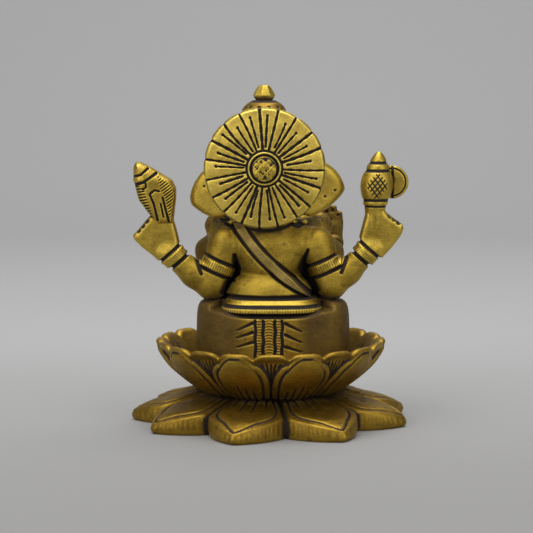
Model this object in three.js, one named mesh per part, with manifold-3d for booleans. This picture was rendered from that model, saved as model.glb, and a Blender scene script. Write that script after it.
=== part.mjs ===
// A seated elephant-headed deity in cast brass, on a double lotus.
// Millimetres, +Z up. The origin is the middle of the underside of the lower lotus.
// The figure faces -Y, so its back and the round halo are towards +Y, and its left side is +X.
import * as THREE from "three";
import { mergeVertices } from "three/addons/utils/BufferGeometryUtils.js";
import Module from "manifold-3d";

const wasm = await Module();
wasm.setup();

// Driving dimensions
const HEIGHT = 100; // underside of the lotus to the tip of the crown
const GAP = 0.3; // room left between neighbours that touch
const PETALS = 10; // in each row of both lotuses
const BASE_TIP_R = 41.3; // lower lotus, at a petal's tip
const BASE_VALLEY_R = 31; // lower lotus, between two petals
const BASE_TIP_H = 3.4; // height of a lower petal's edge, at its tip
const BASE_VALLEY_H = 6; // and between two petals
const BASE_TOP = 9.3; // plateau that carries the upper lotus
const BOWL_FOOT_R = 17; // upper lotus, where it stands on the lower one
const BOWL_RIM_R = 34.5; // upper lotus, at a petal's tip
const BOWL_VALLEY_R = 32.6; // upper lotus, between two petals
const BOWL_RIM_Z = 24.3;
const BOWL_FLOOR = 15; // the figure sits on this
const BOWL_WALL = 4.2; // upright thickness of the sloping wall
const BOWL_RIM_WALL = 1.6; // and of its lip
const SEAT_TOP = 37.3;
const SEAT_HALF_X = 22.8;
const SEAT_HALF_Y = 15.5;
const HEAD_X = 1.9; // the head leans a little to the figure's left
const HEAD_Z = 72;
const HALO_R = 17.7;
const HALO_Z = 76.2;
const HALO_Y = 12.6;
const RIVET_R = 1.6; // shank of the rivet that holds the halo
const SCREW_R = 1.5; // shank of the fixing screw, under the base
const SCREW_HEAD_R = 3.4;
const SCREW_HEAD_TOP = 2.8;
const SCREW_TIP = 22;
const WASHER_R = 4.4;
const WASHER_THICK = 0.6;

const BACKWARDS = new THREE.Vector3(0, 1, 0);
const rad = THREE.MathUtils.degToRad;
const vec = (p) => new THREE.Vector3(...p);

// Materials
const brightBrass = new THREE.MeshStandardMaterial({ color: 0xb8963f, roughness: 0.38, metalness: 1 });
const agedBrass = new THREE.MeshStandardMaterial({ color: 0x8a6a2a, roughness: 0.48, metalness: 1 });
const steel = new THREE.MeshStandardMaterial({ color: 0x9a9a98, roughness: 0.35, metalness: 1 });

// A closed geometry as a solid that can be joined and cut.
function solidOf(geometry) {
  const loose = geometry.index ? geometry.toNonIndexed() : geometry;
  const bare = new THREE.BufferGeometry().setAttribute("position", loose.getAttribute("position"));
  const welded = mergeVertices(bare, 1e-3);
  const mesh = new wasm.Mesh({
    numProp: 3,
    vertProperties: welded.attributes.position.array,
    triVerts: new Uint32Array(welded.index.array),
  });
  return new wasm.Manifold(mesh);
}

// A solid back as a geometry, without the slivers that a cut can leave.
function geometryOf(solid) {
  const largest = solid.decompose().sort((a, b) => b.volume() - a.volume())[0];
  const mesh = largest.getMesh();
  const points = new Float32Array(mesh.numVert * 3);
  for (let i = 0; i < mesh.numVert; i++) {
    const start = i * mesh.numProp;
    points.set(mesh.vertProperties.subarray(start, start + 3), i * 3);
  }
  const geometry = new THREE.BufferGeometry();
  geometry.setAttribute("position", new THREE.BufferAttribute(points, 3));
  geometry.setIndex(new THREE.BufferAttribute(mesh.triVerts, 1));
  return geometry;
}

const join = (...solids) => solids.reduce((whole, next) => whole.add(next));

// Turns a geometry made along +Y so that it runs along a direction, from a point.
function stand(geometry, from, direction) {
  const turn = new THREE.Quaternion().setFromUnitVectors(BACKWARDS, vec(direction).normalize());
  return geometry.applyQuaternion(turn).translate(...from);
}

// An ellipsoid, grown by an amount for cutting its neighbours.
function ball(at, radii, grow = 0, sides = 10) {
  const sphere = new THREE.SphereGeometry(1, sides, sides / 2);
  const [x, y, z] = radii.map((r) => r + grow);
  return solidOf(sphere.rotateX(Math.PI / 2).scale(x, y, z).translate(...at));
}

// A straight limb with round ends, of one radius at each end.
function limb(from, to, startR, endR, grow = 0, sides = 8) {
  const length = vec(from).distanceTo(vec(to));
  const profile = [];
  for (const turn of [-90, -45, 0]) {
    const r = startR + grow;
    profile.push(new THREE.Vector2(r * Math.cos(rad(turn)), r * Math.sin(rad(turn))));
  }
  for (const turn of [0, 45, 90]) {
    const r = endR + grow;
    profile.push(new THREE.Vector2(r * Math.cos(rad(turn)), length + r * Math.sin(rad(turn))));
  }
  profile[0].x = 0;
  profile[5].x = 0;
  const way = vec(to).sub(vec(from)).toArray();
  return solidOf(stand(new THREE.LatheGeometry(profile, sides), from, way));
}

// Limbs end to end through [x, y, z, radius] points.
function chain(points, grow = 0, sides = 8) {
  const pieces = points.slice(1).map((end, i) => {
    const start = points[i];
    return limb(start.slice(0, 3), end.slice(0, 3), start[3], end[3], grow, sides);
  });
  return join(...pieces);
}

// A turned shape from [radius, distance] points that start and end on the axis.
function turned(points, from, direction, sides = 16) {
  const profile = points.map(([r, along]) => new THREE.Vector2(r, along));
  return solidOf(stand(new THREE.LatheGeometry(profile, sides), from, direction));
}

const upright = (points, sides) => turned(points, [0, 0, 0], [0, 0, 1], sides);

const cylinder = (from, direction, r, length, sides = 12) =>
  turned([[0, 0], [r, 0], [r, length], [0, length]], from, direction, sides);

// A short tube around a limb, between two radii.
function band(middle, direction, r, width, hole, sides = 12) {
  const start = vec(middle).addScaledVector(vec(direction).normalize(), -width / 2).toArray();
  const profile = [[0, 0], [r, 0], [r, width], [0, width]];
  return turned(profile, start, direction, sides).subtract(hole);
}

const evenAngles = (count) => Array.from({ length: count }, (_, k) => (2 * Math.PI * k) / count);

// A solid between an upper and a lower surface over a polar grid with a lobed outline.
function polarSolid({ angles, shares, outline, top, bottom, centre = [0, 0] }) {
  const points = [];
  const spokes = angles.length;
  for (const surface of [top, bottom]) {
    points.push(centre[0], centre[1], surface(0, 0, 0, 0));
    for (const share of shares) {
      for (const [spoke, angle] of angles.entries()) {
        const r = share * outline(angle, spoke);
        points.push(centre[0] + r * Math.cos(angle), centre[1] + r * Math.sin(angle));
        points.push(surface(angle, share, r, spoke));
      }
    }
  }
  const layer = 1 + shares.length * spokes;
  const faces = [];
  for (let k = 0; k < spokes; k++) {
    const next = (k + 1) % spokes;
    for (const [start, flip] of [[0, false], [layer, true]]) {
      const face = (a, b, c) => faces.push(...(flip ? [a, c, b] : [a, b, c]));
      face(start, start + 1 + k, start + 1 + next);
      for (let ring = 0; ring + 1 < shares.length; ring++) {
        const inner = start + 1 + ring * spokes;
        const outer = inner + spokes;
        face(inner + k, outer + k, outer + next);
        face(inner + k, outer + next, inner + next);
      }
    }
    const rim = 1 + (shares.length - 1) * spokes;
    faces.push(rim + k, layer + rim + k, layer + rim + next);
    faces.push(rim + k, layer + rim + next, rim + next);
  }
  const geometry = new THREE.BufferGeometry();
  geometry.setAttribute("position", new THREE.Float32BufferAttribute(points, 3));
  return solidOf(geometry.setIndex(faces));
}

// The lower petals were cut by hand, unevenly: the angle of each tip, in degrees from +X.
const BASE_TIPS = [1, 34, 75, 120, 163, 194, 227, 261, 294, 328];
const BASE_STEPS = 6; // spokes from one tip to the next

// The spokes of the lower lotus: each one's angle, and 0 on a tip's line to 1 in a valley.
const baseSpokes = BASE_TIPS.flatMap((tip, i) => {
  const next = i + 1 < PETALS ? BASE_TIPS[i + 1] : BASE_TIPS[0] + 360;
  return Array.from({ length: BASE_STEPS }, (_, step) => ({
    angle: rad(tip + ((next - tip) * step) / BASE_STEPS),
    valley: 1 - Math.abs((2 * step) / BASE_STEPS - 1),
  }));
});
const pointed = (t) => Math.pow(1 - Math.pow(t, 1.5), 0.85);
const baseOutline = (angle, spoke) =>
  BASE_VALLEY_R + (BASE_TIP_R - BASE_VALLEY_R) * pointed(baseSpokes[spoke].valley);

// Lower lotus: a flat foot ring, a dished underside, and a recess for the fixing screw.
function lotusBase() {
  const plateau = 0.42; // share of the radius that stays level
  const furrow = 1.2; // depth of the groove between two petals
  const top = (angle, share, r, spoke) => {
    const { valley } = baseSpokes[spoke];
    const out = Math.max(0, (share - plateau) / (1 - plateau));
    const edge = BASE_TIP_H + (BASE_VALLEY_H - BASE_TIP_H) * valley;
    const fall = (BASE_TOP - edge) * Math.pow(out, 1.3);
    return BASE_TOP - fall - furrow * valley * Math.sin(Math.PI * Math.min(1, out * 1.1));
  };
  const body = polarSolid({
    angles: baseSpokes.map((spoke) => spoke.angle),
    shares: [plateau, 0.75, 1],
    outline: baseOutline,
    top,
    bottom: () => 0,
  });
  const dish = upright([[0, -1], [23, -1], [22, 1.6], [0, 1.6]], 24);
  const recess = upright([[0, -1], [5, -1], [5, 3.4], [0, 3.4]], 12);
  return body.subtract(join(dish, recess, screwHole()));
}

// Upper lotus: an open bowl whose wall is scalloped into petals.
const bowlOutline = (angle) =>
  BOWL_VALLEY_R + (BOWL_RIM_R - BOWL_VALLEY_R) * Math.abs(Math.cos((PETALS / 2) * angle));
const bowlUnder = (r) => {
  const out = Math.max(0, (r - BOWL_FOOT_R) / (BOWL_RIM_R - BOWL_FOOT_R));
  return BASE_TOP + (BOWL_RIM_Z - BOWL_RIM_WALL - BASE_TOP) * Math.pow(out, 2);
};

function lotusBowl(grow = 0) {
  const wall = (share) => (share === 1 ? BOWL_RIM_WALL : BOWL_WALL);
  const body = polarSolid({
    angles: evenAngles(PETALS * 4),
    shares: [0.5, 0.72, 0.88, 1],
    outline: bowlOutline,
    top: (angle, share, r) => grow + Math.max(BOWL_FLOOR, bowlUnder(r) + wall(share)),
    bottom: (angle, share, r) => bowlUnder(r),
  });
  return body.subtract(screwHole());
}

// The lap and thighs under their cloth: upright sides, high behind and low in front.
const SEAT_X = -0.6;
const SEAT_Y = 2;
const seatOutline = (angle) => {
  const square = 2.8;
  const x = Math.pow(Math.abs(Math.cos(angle)) / SEAT_HALF_X, square);
  const y = Math.pow(Math.abs(Math.sin(angle)) / SEAT_HALF_Y, square);
  return Math.pow(x + y, -1 / square);
};

function seat(grow = 0) {
  const frontFall = 6;
  const edgeFall = 3;
  const top = (angle, share, r) => {
    const front = Math.max(0, -Math.sin(angle) * r) / SEAT_HALF_Y;
    return SEAT_TOP + grow - frontFall * front * front - edgeFall * Math.pow(share, 6);
  };
  return polarSolid({
    angles: evenAngles(28),
    shares: [0.55, 0.88, 1],
    outline: (angle) => seatOutline(angle) + grow,
    top,
    bottom: () => BOWL_FLOOR,
    centre: [SEAT_X, SEAT_Y],
  });
}

// Joint places of the figure. A side is +1 on the figure's left and -1 on its right.
const LEFT = 1;
const RIGHT = -1;
const sided = (side, [x, y, z, ...more]) => [side * x, y, z, ...more];
const rear = {
  [LEFT]: {
    shoulder: [13.2, 4, 54],
    elbow: [17.4, 5, 41],
    wrist: [28.6, 5, 49.6],
    palm: [33, 4.5, 55.2],
    knuckles: [[36, 4, 59.6], [38.9, 4, 56]],
  },
  [RIGHT]: {
    shoulder: [-13.4, 4, 54],
    elbow: [-17.7, 5, 41.4],
    wrist: [-28, 5, 50.6],
    palm: [-32, 4.5, 55.6],
    knuckles: [[-33.6, 4, 60.6], [-37.2, 4, 58]],
  },
};
const front = {
  [LEFT]: {
    shoulder: [14, -3, 53.5],
    elbow: [19.6, -10.5, 47.6],
    wrist: [16.2, -17, 43.2],
    knuckle: [12, -20, 42],
  },
  [RIGHT]: {
    shoulder: [-14, -3, 53.5],
    elbow: [-18.8, -10.5, 46.4],
    wrist: [-19.2, -14, 52.6],
    knuckle: [-19.4, -14.4, 58],
  },
};

const along = (from, to, share) => vec(from).lerp(vec(to), share).toArray();
const way = (from, to) => vec(to).sub(vec(from)).toArray();

// Trunk of the body: hips, round belly, back, shoulders and neck.
function torso(grow = 0) {
  return join(
    ball([0, 1.5, 40.5], [13.2, 12.2, 7], grow, 12),
    ball([0, -4.5, 45.5], [13.6, 14, 10.5], grow, 12),
    ball([0, 1.6, 50.5], [13.4, 10.4, 9.5], grow, 12),
    ball([0.5, 1, 56], [9.5, 7.5, 5.5], grow),
    limb([1.2, 1, 55], [HEAD_X, 1, 61.5], 6.4, 6, grow),
  );
}

const rearUpperArm = (side, grow = 0) =>
  limb(rear[side].shoulder, along(rear[side].shoulder, rear[side].elbow, 0.9), 5.2, 4.1, grow);
const rearForearm = (side, grow = 0) => limb(rear[side].elbow, rear[side].wrist, 4.1, 3.3, grow);
const rearHand = (side, grow = 0) => {
  const { wrist, palm, knuckles } = rear[side];
  const [first, last] = knuckles;
  return join(
    ball(palm, [5.4, 3.2, 5.4], grow),
    limb(along(wrist, palm, 0.2), palm, 3.1, 3.4, grow),
    limb(first, last, 2, 1.7, grow),
    limb(along(palm, last, 0.5), last, 3.2, 1.7, grow),
    limb(first, sided(side, [30.6, 0.5, 62.2]), 2.6, 2.2, grow),
  );
};

const frontUpperArm = (side, grow = 0) =>
  limb(front[side].shoulder, along(front[side].shoulder, front[side].elbow, 0.9), 4.4, 3.4, grow);
const frontForearm = (side, grow = 0) => limb(front[side].elbow, front[side].wrist, 3.3, 2.5, grow);

// The raised right palm faces forwards; the left hand lies open under the bowl of sweets.
function frontHand(side, grow = 0) {
  const { wrist, knuckle } = front[side];
  if (side === RIGHT) {
    const palm = ball([wrist[0], wrist[1] - 0.4, wrist[2] + 4.2], [2.9, 1.7, 3.4], grow);
    const fingers = limb(along(wrist, knuckle, 1), [-19.2, -14.4, 61.6], 2, 1.6, grow);
    return join(palm, fingers, limb(wrist, knuckle, 2, 1.9, grow));
  }
  const palm = ball([11, -20.6, 41.8], [4.2, 3.8, 1.6], grow);
  return join(palm, limb(wrist, knuckle, 2, 1.8, grow));
}

// A ring of cloth or metal on an arm, with a hole that clears the arm.
const ARMLET = { r: 5.6, width: 3.6 };
const REAR_BRACELET = { r: 4.1, width: 3 };
const FRONT_BRACELET = { r: 3.1, width: 1.8 };
const armlet = (side) => {
  const { shoulder, elbow } = rear[side];
  const hole = rearUpperArm(side, GAP);
  return band(along(shoulder, elbow, 0.52), way(shoulder, elbow), ARMLET.r, ARMLET.width, hole);
};
const bracelet = ({ elbow, wrist }, arm, { r, width }) =>
  band(along(elbow, wrist, 0.93), way(elbow, wrist), r, width, arm);

// Folded legs under cloth, with the bare feet coming forward to the middle.
const KNEE = [17.4, -8.6, 25.2];
const ANKLE = [5.6, -19, 22.6];
function leg(side, grow = 0) {
  const thigh = limb(sided(side, [8.4, -3, 26.6]), sided(side, KNEE), 7.6, 6.6, grow);
  const shin = limb(sided(side, KNEE), sided(side, ANKLE), 6, 4.2, grow);
  return join(thigh, shin);
}
function foot(side, grow = 0) {
  const instep = sided(side, [4.6, -22, 22.2]);
  const toes = sided(side, [5.2, -27.4, 21.6]);
  return chain([[...sided(side, ANKLE), 2.9], [...instep, 2.7], [...toes, 1.9]], grow);
}

// Elephant head: twin-domed skull, brow and cheeks.
function head(grow = 0) {
  return join(
    ball([HEAD_X, -0.5, HEAD_Z], [10, 10.6, 11], grow, 12),
    ball([HEAD_X - 3.6, -3.5, 77.5], [5.8, 6.6, 5.6], grow),
    ball([HEAD_X + 3.6, -3.5, 77.5], [5.8, 6.6, 5.6], grow),
    ball([HEAD_X, -7, 68], [7.2, 7.2, 7.4], grow),
  );
}

const TRUNK = [
  [HEAD_X, -10.5, 68, 4.9],
  [HEAD_X, -16.6, 62.5, 4.2],
  [HEAD_X + 0.3, -20.2, 57, 3.5],
  [HEAD_X + 1.8, -22, 53, 2.9],
  [HEAD_X + 5, -22.8, 51, 2.4],
  [HEAD_X + 8, -22.6, 52, 2],
];
const trunk = (grow = 0) => chain(TRUNK, grow);

function tusk(side, length, grow = 0) {
  const root = [HEAD_X + side * 4.6, -12.2, 64.6];
  const tip = [root[0] + side * 0.18 * length, root[1] - 0.72 * length, root[2] - 0.55 * length];
  return limb(root, tip, 1.35, 0.7, grow, 6);
}

// A fan-shaped ear, 2.4 mm thick, swept back a little from the face.
function ear(side, grow = 0) {
  const outline = new THREE.Shape();
  outline.moveTo(0, -8.6 - grow);
  outline.lineTo(8, -8.4 - grow);
  outline.quadraticCurveTo(11.6 + grow, -6 - grow, 12.4 + grow, -3.2 - grow);
  outline.quadraticCurveTo(11.8 + grow, 9.4 + grow, 0, 9.8 + grow);
  const depth = 2.4 + 2 * grow;
  const plate = new THREE.ExtrudeGeometry(outline, { depth, bevelEnabled: false, curveSegments: 4 });
  plate.translate(0, 0, -depth / 2).rotateX(Math.PI / 2).rotateZ(rad(10));
  if (side === LEFT) return solidOf(plate.translate(HEAD_X + 9.2, 2.6, 69.6));
  const turnedOver = solidOf(plate).mirror([1, 0, 0]);
  return turnedOver.translate([HEAD_X - 9.2, 2.6, 69.6]);
}

// Crown: a band on the brow, a tall dome in tiers, and a faceted finial on a pin.
const CROWN_AT = [HEAD_X + 0.1, 0.8, 0];
const CROWN_FOOT = 80.6;
const FINIAL_FOOT = 95.4;
function crown(grow = 0) {
  const tiers = [
    [0, 0], [9.4, 0], [9.6, 2], [8.2, 4.4], [8.4, 6.2], [6.8, 11], [5.2, 13.4], [3.4, 14.6], [0, 14.6],
  ];
  const profile = tiers.map(([r, z]) => [r ? r + grow : 0, z ? z + grow : -grow]);
  return turned(profile, [CROWN_AT[0], CROWN_AT[1], CROWN_FOOT], [0, 0, 1]);
}
const crownBand = (grow = 0) => {
  const profile = [[0, -grow], [10.6 + grow, -grow], [10.9 + grow, 2.6 + grow], [0, 2.6 + grow]];
  return turned(profile, [CROWN_AT[0], CROWN_AT[1] - 0.4, CROWN_FOOT - 2.9], [0, 0, 1], 20);
};
const FINIAL_PIN_R = 1;
const finialPin = (grow = 0) =>
  cylinder([CROWN_AT[0], CROWN_AT[1], FINIAL_FOOT - 3 - grow], [0, 0, 1], FINIAL_PIN_R + grow, 4, 8);
function crownFinial() {
  const top = HEIGHT - FINIAL_FOOT;
  const profile = [[0, 0], [2.3, 0], [3.2, 1.6], [1.6, top], [0, top]];
  return join(turned(profile, [CROWN_AT[0], CROWN_AT[1], FINIAL_FOOT], [0, 0, 1], 8), finialPin());
}

// Halo: a shallow dished disc behind the head, held by one peened rivet.
const HALO_AT = [HEAD_X, HALO_Y, HALO_Z];
function haloDisc() {
  const dome = [[0, 0], [16, -0.7], [HALO_R, -1.2], [HALO_R, 0.3], [13, 1.6], [6, 2.3], [0, 2.5]];
  const disc = turned(dome, HALO_AT, [0, 1, 0], 38);
  return disc.subtract(rivetShank(GAP)).subtract(head(GAP)).subtract(crown(GAP));
}
const rivetShank = (grow = 0) =>
  cylinder([HALO_AT[0], HALO_Y - 6 - grow, HALO_AT[2] - 1], [0, 1, 0], RIVET_R + grow, 9 + grow, 10);
function haloRivet() {
  const cap = [[0, 0], [3.9, 0], [3.7, 0.6], [2.6, 1.2], [0, 1.4]];
  const boss = turned(cap, [HALO_AT[0], HALO_Y + 2.8, HALO_AT[2] - 1], [0, 1, 0]);
  return join(boss, rivetShank());
}

// What the rear hands hold.
function conch(grow = 0) {
  const spire = [
    [0, -1], [2.6, 0], [4.2, 3.6], [5.8, 8.4], [5.3, 11.6], [3.3, 15], [1.5, 17.6], [0, 18],
  ];
  const profile = spire.map(([r, at]) => [r ? r + grow : 0, at]);
  return turned(profile, [32.2, 4.6, 60.2], [0.39, 0, 0.92], 12);
}
const AXE_FOOT = [-31, 4.6, 57.4];
const AXE_WAY = [-0.06, 0, 1];
function axeHaft(grow = 0) {
  const turnings = [
    [0, 0], [2.5, 0], [2.5, 5], [3.6, 7.6], [4.5, 11],
    [4.5, 15.6], [3.2, 19], [2.4, 20.2], [0.4, 23.3], [0, 23.3],
  ];
  const profile = turnings.map(([r, at]) => [r ? r + grow : 0, at]);
  return turned(profile, AXE_FOOT, AXE_WAY, 12);
}
const axeBlade = () => {
  const edge = [[0, -0.8], [4.2, -0.9], [4.9, -0.3], [4.9, 0.3], [4.2, 0.9], [0, 0.8]];
  return turned(edge, [-35.6, 3.6, 71.6], [0, 1, 0], 20);
};

// Bowl of sweets on the left hand.
const SWEETS_AT = [10.4, -21.4, 43.7];
const sweetBowl = (grow = 0) => {
  const wall = [
    [0, -grow], [2.4 + grow, -grow], [4.6 + grow, 2], [4.8 + grow, 3.4], [4, 3.4], [3.4, 2.4], [0, 2.4],
  ];
  return turned(wall, SWEETS_AT, [0, 0, 1], 12);
};
const sweets = () => {
  const heap = [[0, 0], [2.7, 0], [2.9, 0.7], [1.9, 1.8], [0, 2.4]];
  return turned(heap, [SWEETS_AT[0], SWEETS_AT[1], SWEETS_AT[2] + 2.7], [0, 0, 1], 10);
};

// Dress: waist belt with its clasp, sacred cord and necklace.
const BELT_Z = 36.3;
const BELT_H = 4.6;
function beltRing(r, height, z) {
  const ring = cylinder([0, 0, 0], [0, 0, 1], 1, height, 24);
  return ring.scale([r - 0.4, r, 1]).translate([-0.2, 2, z - height / 2]);
}
const belt = (grow = 0) =>
  beltRing(15.2 + grow, BELT_H + 2 * grow, BELT_Z).subtract(beltRing(11.2 - grow, 20, BELT_Z));
const clasp = (grow = 0) => ball([0, -13.8, BELT_Z], [3.4, 1.6, 2.6], grow, 8);
const SASH_WIDTH = 3.4;
const SASH_LIFT = 1.2; // its outer face above the body
function sash() {
  const slope = Math.atan2(21.4, 21.9);
  const slab = new THREE.BoxGeometry(70, 70, SASH_WIDTH).rotateY(slope).translate(-0.2, 0, 48.9);
  return torso(SASH_LIFT).subtract(torso(GAP)).intersect(solidOf(slab));
}
function necklace(grow = 0) {
  const ring = new THREE.TorusGeometry(7.6, 1.1 + grow, 6, 16).rotateX(rad(-22));
  return solidOf(ring.translate(1.4, -1.6, 58.2));
}
const pendant = (grow = 0) => ball([0.6, -11, 55], [2.1, 1.2, 2.6], grow, 8);

// Fixing from below: one countersunk screw with a washer ties both lotuses to the figure.
const screwHole = () => cylinder([0, 0, 0], [0, 0, 1], SCREW_R + GAP, SCREW_TIP + 1);
const baseScrew = () => {
  const underside = 0.4;
  const profile = [
    [0, underside], [SCREW_HEAD_R, underside], [SCREW_HEAD_R, SCREW_HEAD_TOP],
    [SCREW_R, SCREW_HEAD_TOP], [SCREW_R, SCREW_TIP], [0, SCREW_TIP],
  ];
  return upright(profile, 16);
};
const washer = () => {
  const top = SCREW_HEAD_TOP + WASHER_THICK;
  const profile = [[0, SCREW_HEAD_TOP], [WASHER_R, SCREW_HEAD_TOP], [WASHER_R, top], [0, top]];
  return upright(profile, 16).subtract(screwHole());
};

// Each piece, less the neighbours that it meets.
const statue = new THREE.Group();
function place(group, name, material, solid, ...cutters) {
  const cut = cutters.reduce((left, cutter) => left.subtract(cutter), solid);
  const geometry = geometryOf(cut);
  geometry.computeBoundingBox();
  const middle = geometry.boundingBox.getCenter(new THREE.Vector3());
  const mesh = new THREE.Mesh(geometry.translate(-middle.x, -middle.y, -middle.z), material);
  mesh.name = name;
  mesh.position.copy(middle);
  group.add(mesh);
}

const pedestal = new THREE.Group();
place(pedestal, "lotus_base", agedBrass, lotusBase());
place(pedestal, "lotus_bowl", agedBrass, lotusBowl());
place(pedestal, "base_screw", steel, baseScrew());
place(pedestal, "screw_washer", steel, washer());

const body = new THREE.Group();
const bowlRoom = lotusBowl(GAP);
const legsRoom = [LEFT, RIGHT].map((side) => leg(side, GAP));
place(body, "dhoti_seat", agedBrass, seat(), screwHole(), ...legsRoom, bowlRoom, belt(GAP), clasp(GAP));
place(body, "torso", brightBrass, torso(), seat(GAP), belt(GAP), clasp(GAP), ...legsRoom);
const forearms = [LEFT, RIGHT].map((side) => rearForearm(side, GAP));
place(body, "waist_belt", brightBrass, belt(), clasp(GAP), ...forearms, ...legsRoom);
place(body, "belt_clasp", brightBrass, clasp(), ...legsRoom);

for (const [side, word] of [[LEFT, "left"], [RIGHT, "right"]]) {
  const arms = new THREE.Group();
  const legs = new THREE.Group();
  const lower = rearForearm(side, GAP);
  const upperCuff = bracelet(rear[side], lower, REAR_BRACELET);
  const frontLower = frontForearm(side, GAP);
  const frontCuff = bracelet(front[side], frontLower, FRONT_BRACELET);
  const nearBowl = [torso(GAP), sweetBowl(GAP)];
  place(legs, `leg_${word}`, agedBrass, leg(side), foot(side, GAP), bowlRoom);
  place(legs, `foot_${word}`, brightBrass, foot(side), bowlRoom);
  place(arms, `rear_upper_arm_${word}`, brightBrass, rearUpperArm(side), torso(GAP), lower, seat(GAP));
  place(arms, `armlet_${word}`, brightBrass, armlet(side), torso(GAP), frontUpperArm(side, GAP), lower);
  place(arms, `rear_forearm_${word}`, brightBrass, rearForearm(side), torso(GAP), seat(GAP));
  place(arms, `bracelet_${word}`, brightBrass, upperCuff, rearHand(side, GAP));
  const held = side === LEFT ? conch(GAP) : axeHaft(GAP);
  place(arms, `rear_hand_${word}`, brightBrass, rearHand(side), lower, held);
  place(
    arms, `front_upper_arm_${word}`, brightBrass,
    frontUpperArm(side), torso(GAP), rearUpperArm(side, GAP), frontLower,
  );
  place(arms, `front_forearm_${word}`, brightBrass, frontForearm(side), ...nearBowl);
  place(arms, `front_bracelet_${word}`, brightBrass, frontCuff, frontHand(side, GAP), ...nearBowl);
  place(arms, `front_hand_${word}`, brightBrass, frontHand(side), frontLower, ...nearBowl);
  body.add(arms, legs);
}
place(body, "conch_shell", brightBrass, conch());
place(body, "axe_haft", brightBrass, axeHaft());
place(body, "axe_blade", brightBrass, axeBlade(), axeHaft(GAP));
place(body, "sweet_bowl", brightBrass, sweetBowl());
place(body, "sweets", brightBrass, sweets());

const arms = [LEFT, RIGHT].flatMap((side) => [rearUpperArm(side, GAP), frontUpperArm(side, GAP)]);
place(body, "sash", brightBrass, sash(), ...arms, seat(GAP), belt(GAP), necklace(GAP), clasp(GAP));
place(body, "necklace", brightBrass, necklace(), torso(GAP), head(GAP), pendant(GAP), ...arms);
place(body, "pendant", brightBrass, pendant(), torso(GAP), trunk(GAP));

const headGroup = new THREE.Group();
const rivetHole = rivetShank(GAP);
place(headGroup, "head", brightBrass, head(), torso(GAP), rivetHole, crownBand(GAP), crown(GAP));
place(headGroup, "trunk", brightBrass, trunk(), head(GAP), torso(GAP));
place(headGroup, "tusk_left", brightBrass, tusk(LEFT, 7), head(GAP), trunk(GAP));
place(headGroup, "tusk_right", brightBrass, tusk(RIGHT, 3.6), head(GAP), trunk(GAP));
for (const [side, word] of [[LEFT, "left"], [RIGHT, "right"]]) {
  const near = [head(GAP), torso(GAP), crownBand(GAP), rearUpperArm(side, GAP)];
  place(headGroup, `ear_${word}`, brightBrass, ear(side), ...near);
}
place(headGroup, "crown_band", brightBrass, crownBand(), head(GAP), crown(GAP));
place(headGroup, "crown", brightBrass, crown(), finialPin(GAP));
place(headGroup, "crown_finial", brightBrass, crownFinial());
place(headGroup, "halo_disc", brightBrass, haloDisc());
place(headGroup, "halo_rivet", brightBrass, haloRivet());

statue.add(pedestal, body, headGroup);
export default statue;
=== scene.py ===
"""A small brass deity, seated on a double lotus: the looks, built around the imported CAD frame."""

import bpy
import numpy as np
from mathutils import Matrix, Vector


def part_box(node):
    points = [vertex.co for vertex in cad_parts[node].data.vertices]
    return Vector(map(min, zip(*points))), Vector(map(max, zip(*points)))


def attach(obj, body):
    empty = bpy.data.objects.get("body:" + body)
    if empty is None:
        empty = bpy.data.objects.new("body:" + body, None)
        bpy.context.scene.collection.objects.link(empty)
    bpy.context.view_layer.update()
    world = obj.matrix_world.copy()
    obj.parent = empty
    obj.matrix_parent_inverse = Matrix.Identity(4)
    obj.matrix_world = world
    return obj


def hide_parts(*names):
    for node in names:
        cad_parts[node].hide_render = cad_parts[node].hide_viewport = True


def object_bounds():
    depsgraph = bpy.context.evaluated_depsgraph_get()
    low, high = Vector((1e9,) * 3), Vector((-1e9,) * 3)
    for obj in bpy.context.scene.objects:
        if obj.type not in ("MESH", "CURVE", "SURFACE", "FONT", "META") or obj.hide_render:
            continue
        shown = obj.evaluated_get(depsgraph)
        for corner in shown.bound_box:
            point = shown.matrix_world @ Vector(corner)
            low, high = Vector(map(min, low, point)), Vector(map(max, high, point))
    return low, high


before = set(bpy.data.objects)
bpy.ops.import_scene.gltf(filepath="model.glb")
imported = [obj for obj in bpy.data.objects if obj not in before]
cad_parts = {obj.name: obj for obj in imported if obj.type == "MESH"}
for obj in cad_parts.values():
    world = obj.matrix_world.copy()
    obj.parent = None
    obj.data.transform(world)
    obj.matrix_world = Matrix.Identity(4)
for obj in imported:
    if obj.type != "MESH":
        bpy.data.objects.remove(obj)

import openvdb
from mathutils import Vector

cad_box = [list(corner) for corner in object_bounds()]
rng = np.random.default_rng(11)

MM = 0.001  # the shapes below are worked out in millimetres
LEFT, RIGHT = 1, -1
SIDES = ((LEFT, "left"), (RIGHT, "right"))
BACK = np.array([0.0, 1.0, 0.0])
pieces = []


# ---------------------------------------------------------------- places from the frame

def box_mm(node):
    """A node's lowest and highest corner, in millimetres."""
    low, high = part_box(node)
    return np.array(low) / MM, np.array(high) / MM


def spot(node, x=0.0, y=0.0, z=0.0, inset=0.0):
    """A point in a node's box: -1 to 1 across it on each axis, and moved in from its sides."""
    low, high = box_mm(node)
    way = np.array([x, y, z], float)
    return (low + high) / 2 + way * ((high - low) / 2 - inset * (way != 0))


# ---------------------------------------------------------------- curves and distances

def turns(count):
    """Evenly spaced angles of one full turn."""
    return np.linspace(0, 2 * np.pi, count, endpoint=False)


def ramp(start, end, value):
    """0 before start and 1 past end, eased at both."""
    t = np.clip((value - start) / (end - start), 0, 1)
    return t * t * (3 - 2 * t)


def bump(distance, width):
    """1 on a line and 0 beyond half its width."""
    return np.clip(1 - (2 * distance / width) ** 2, 0, 1) ** 1.5


highest, lowest = np.maximum.reduce, np.minimum.reduce  # of several fields


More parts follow.
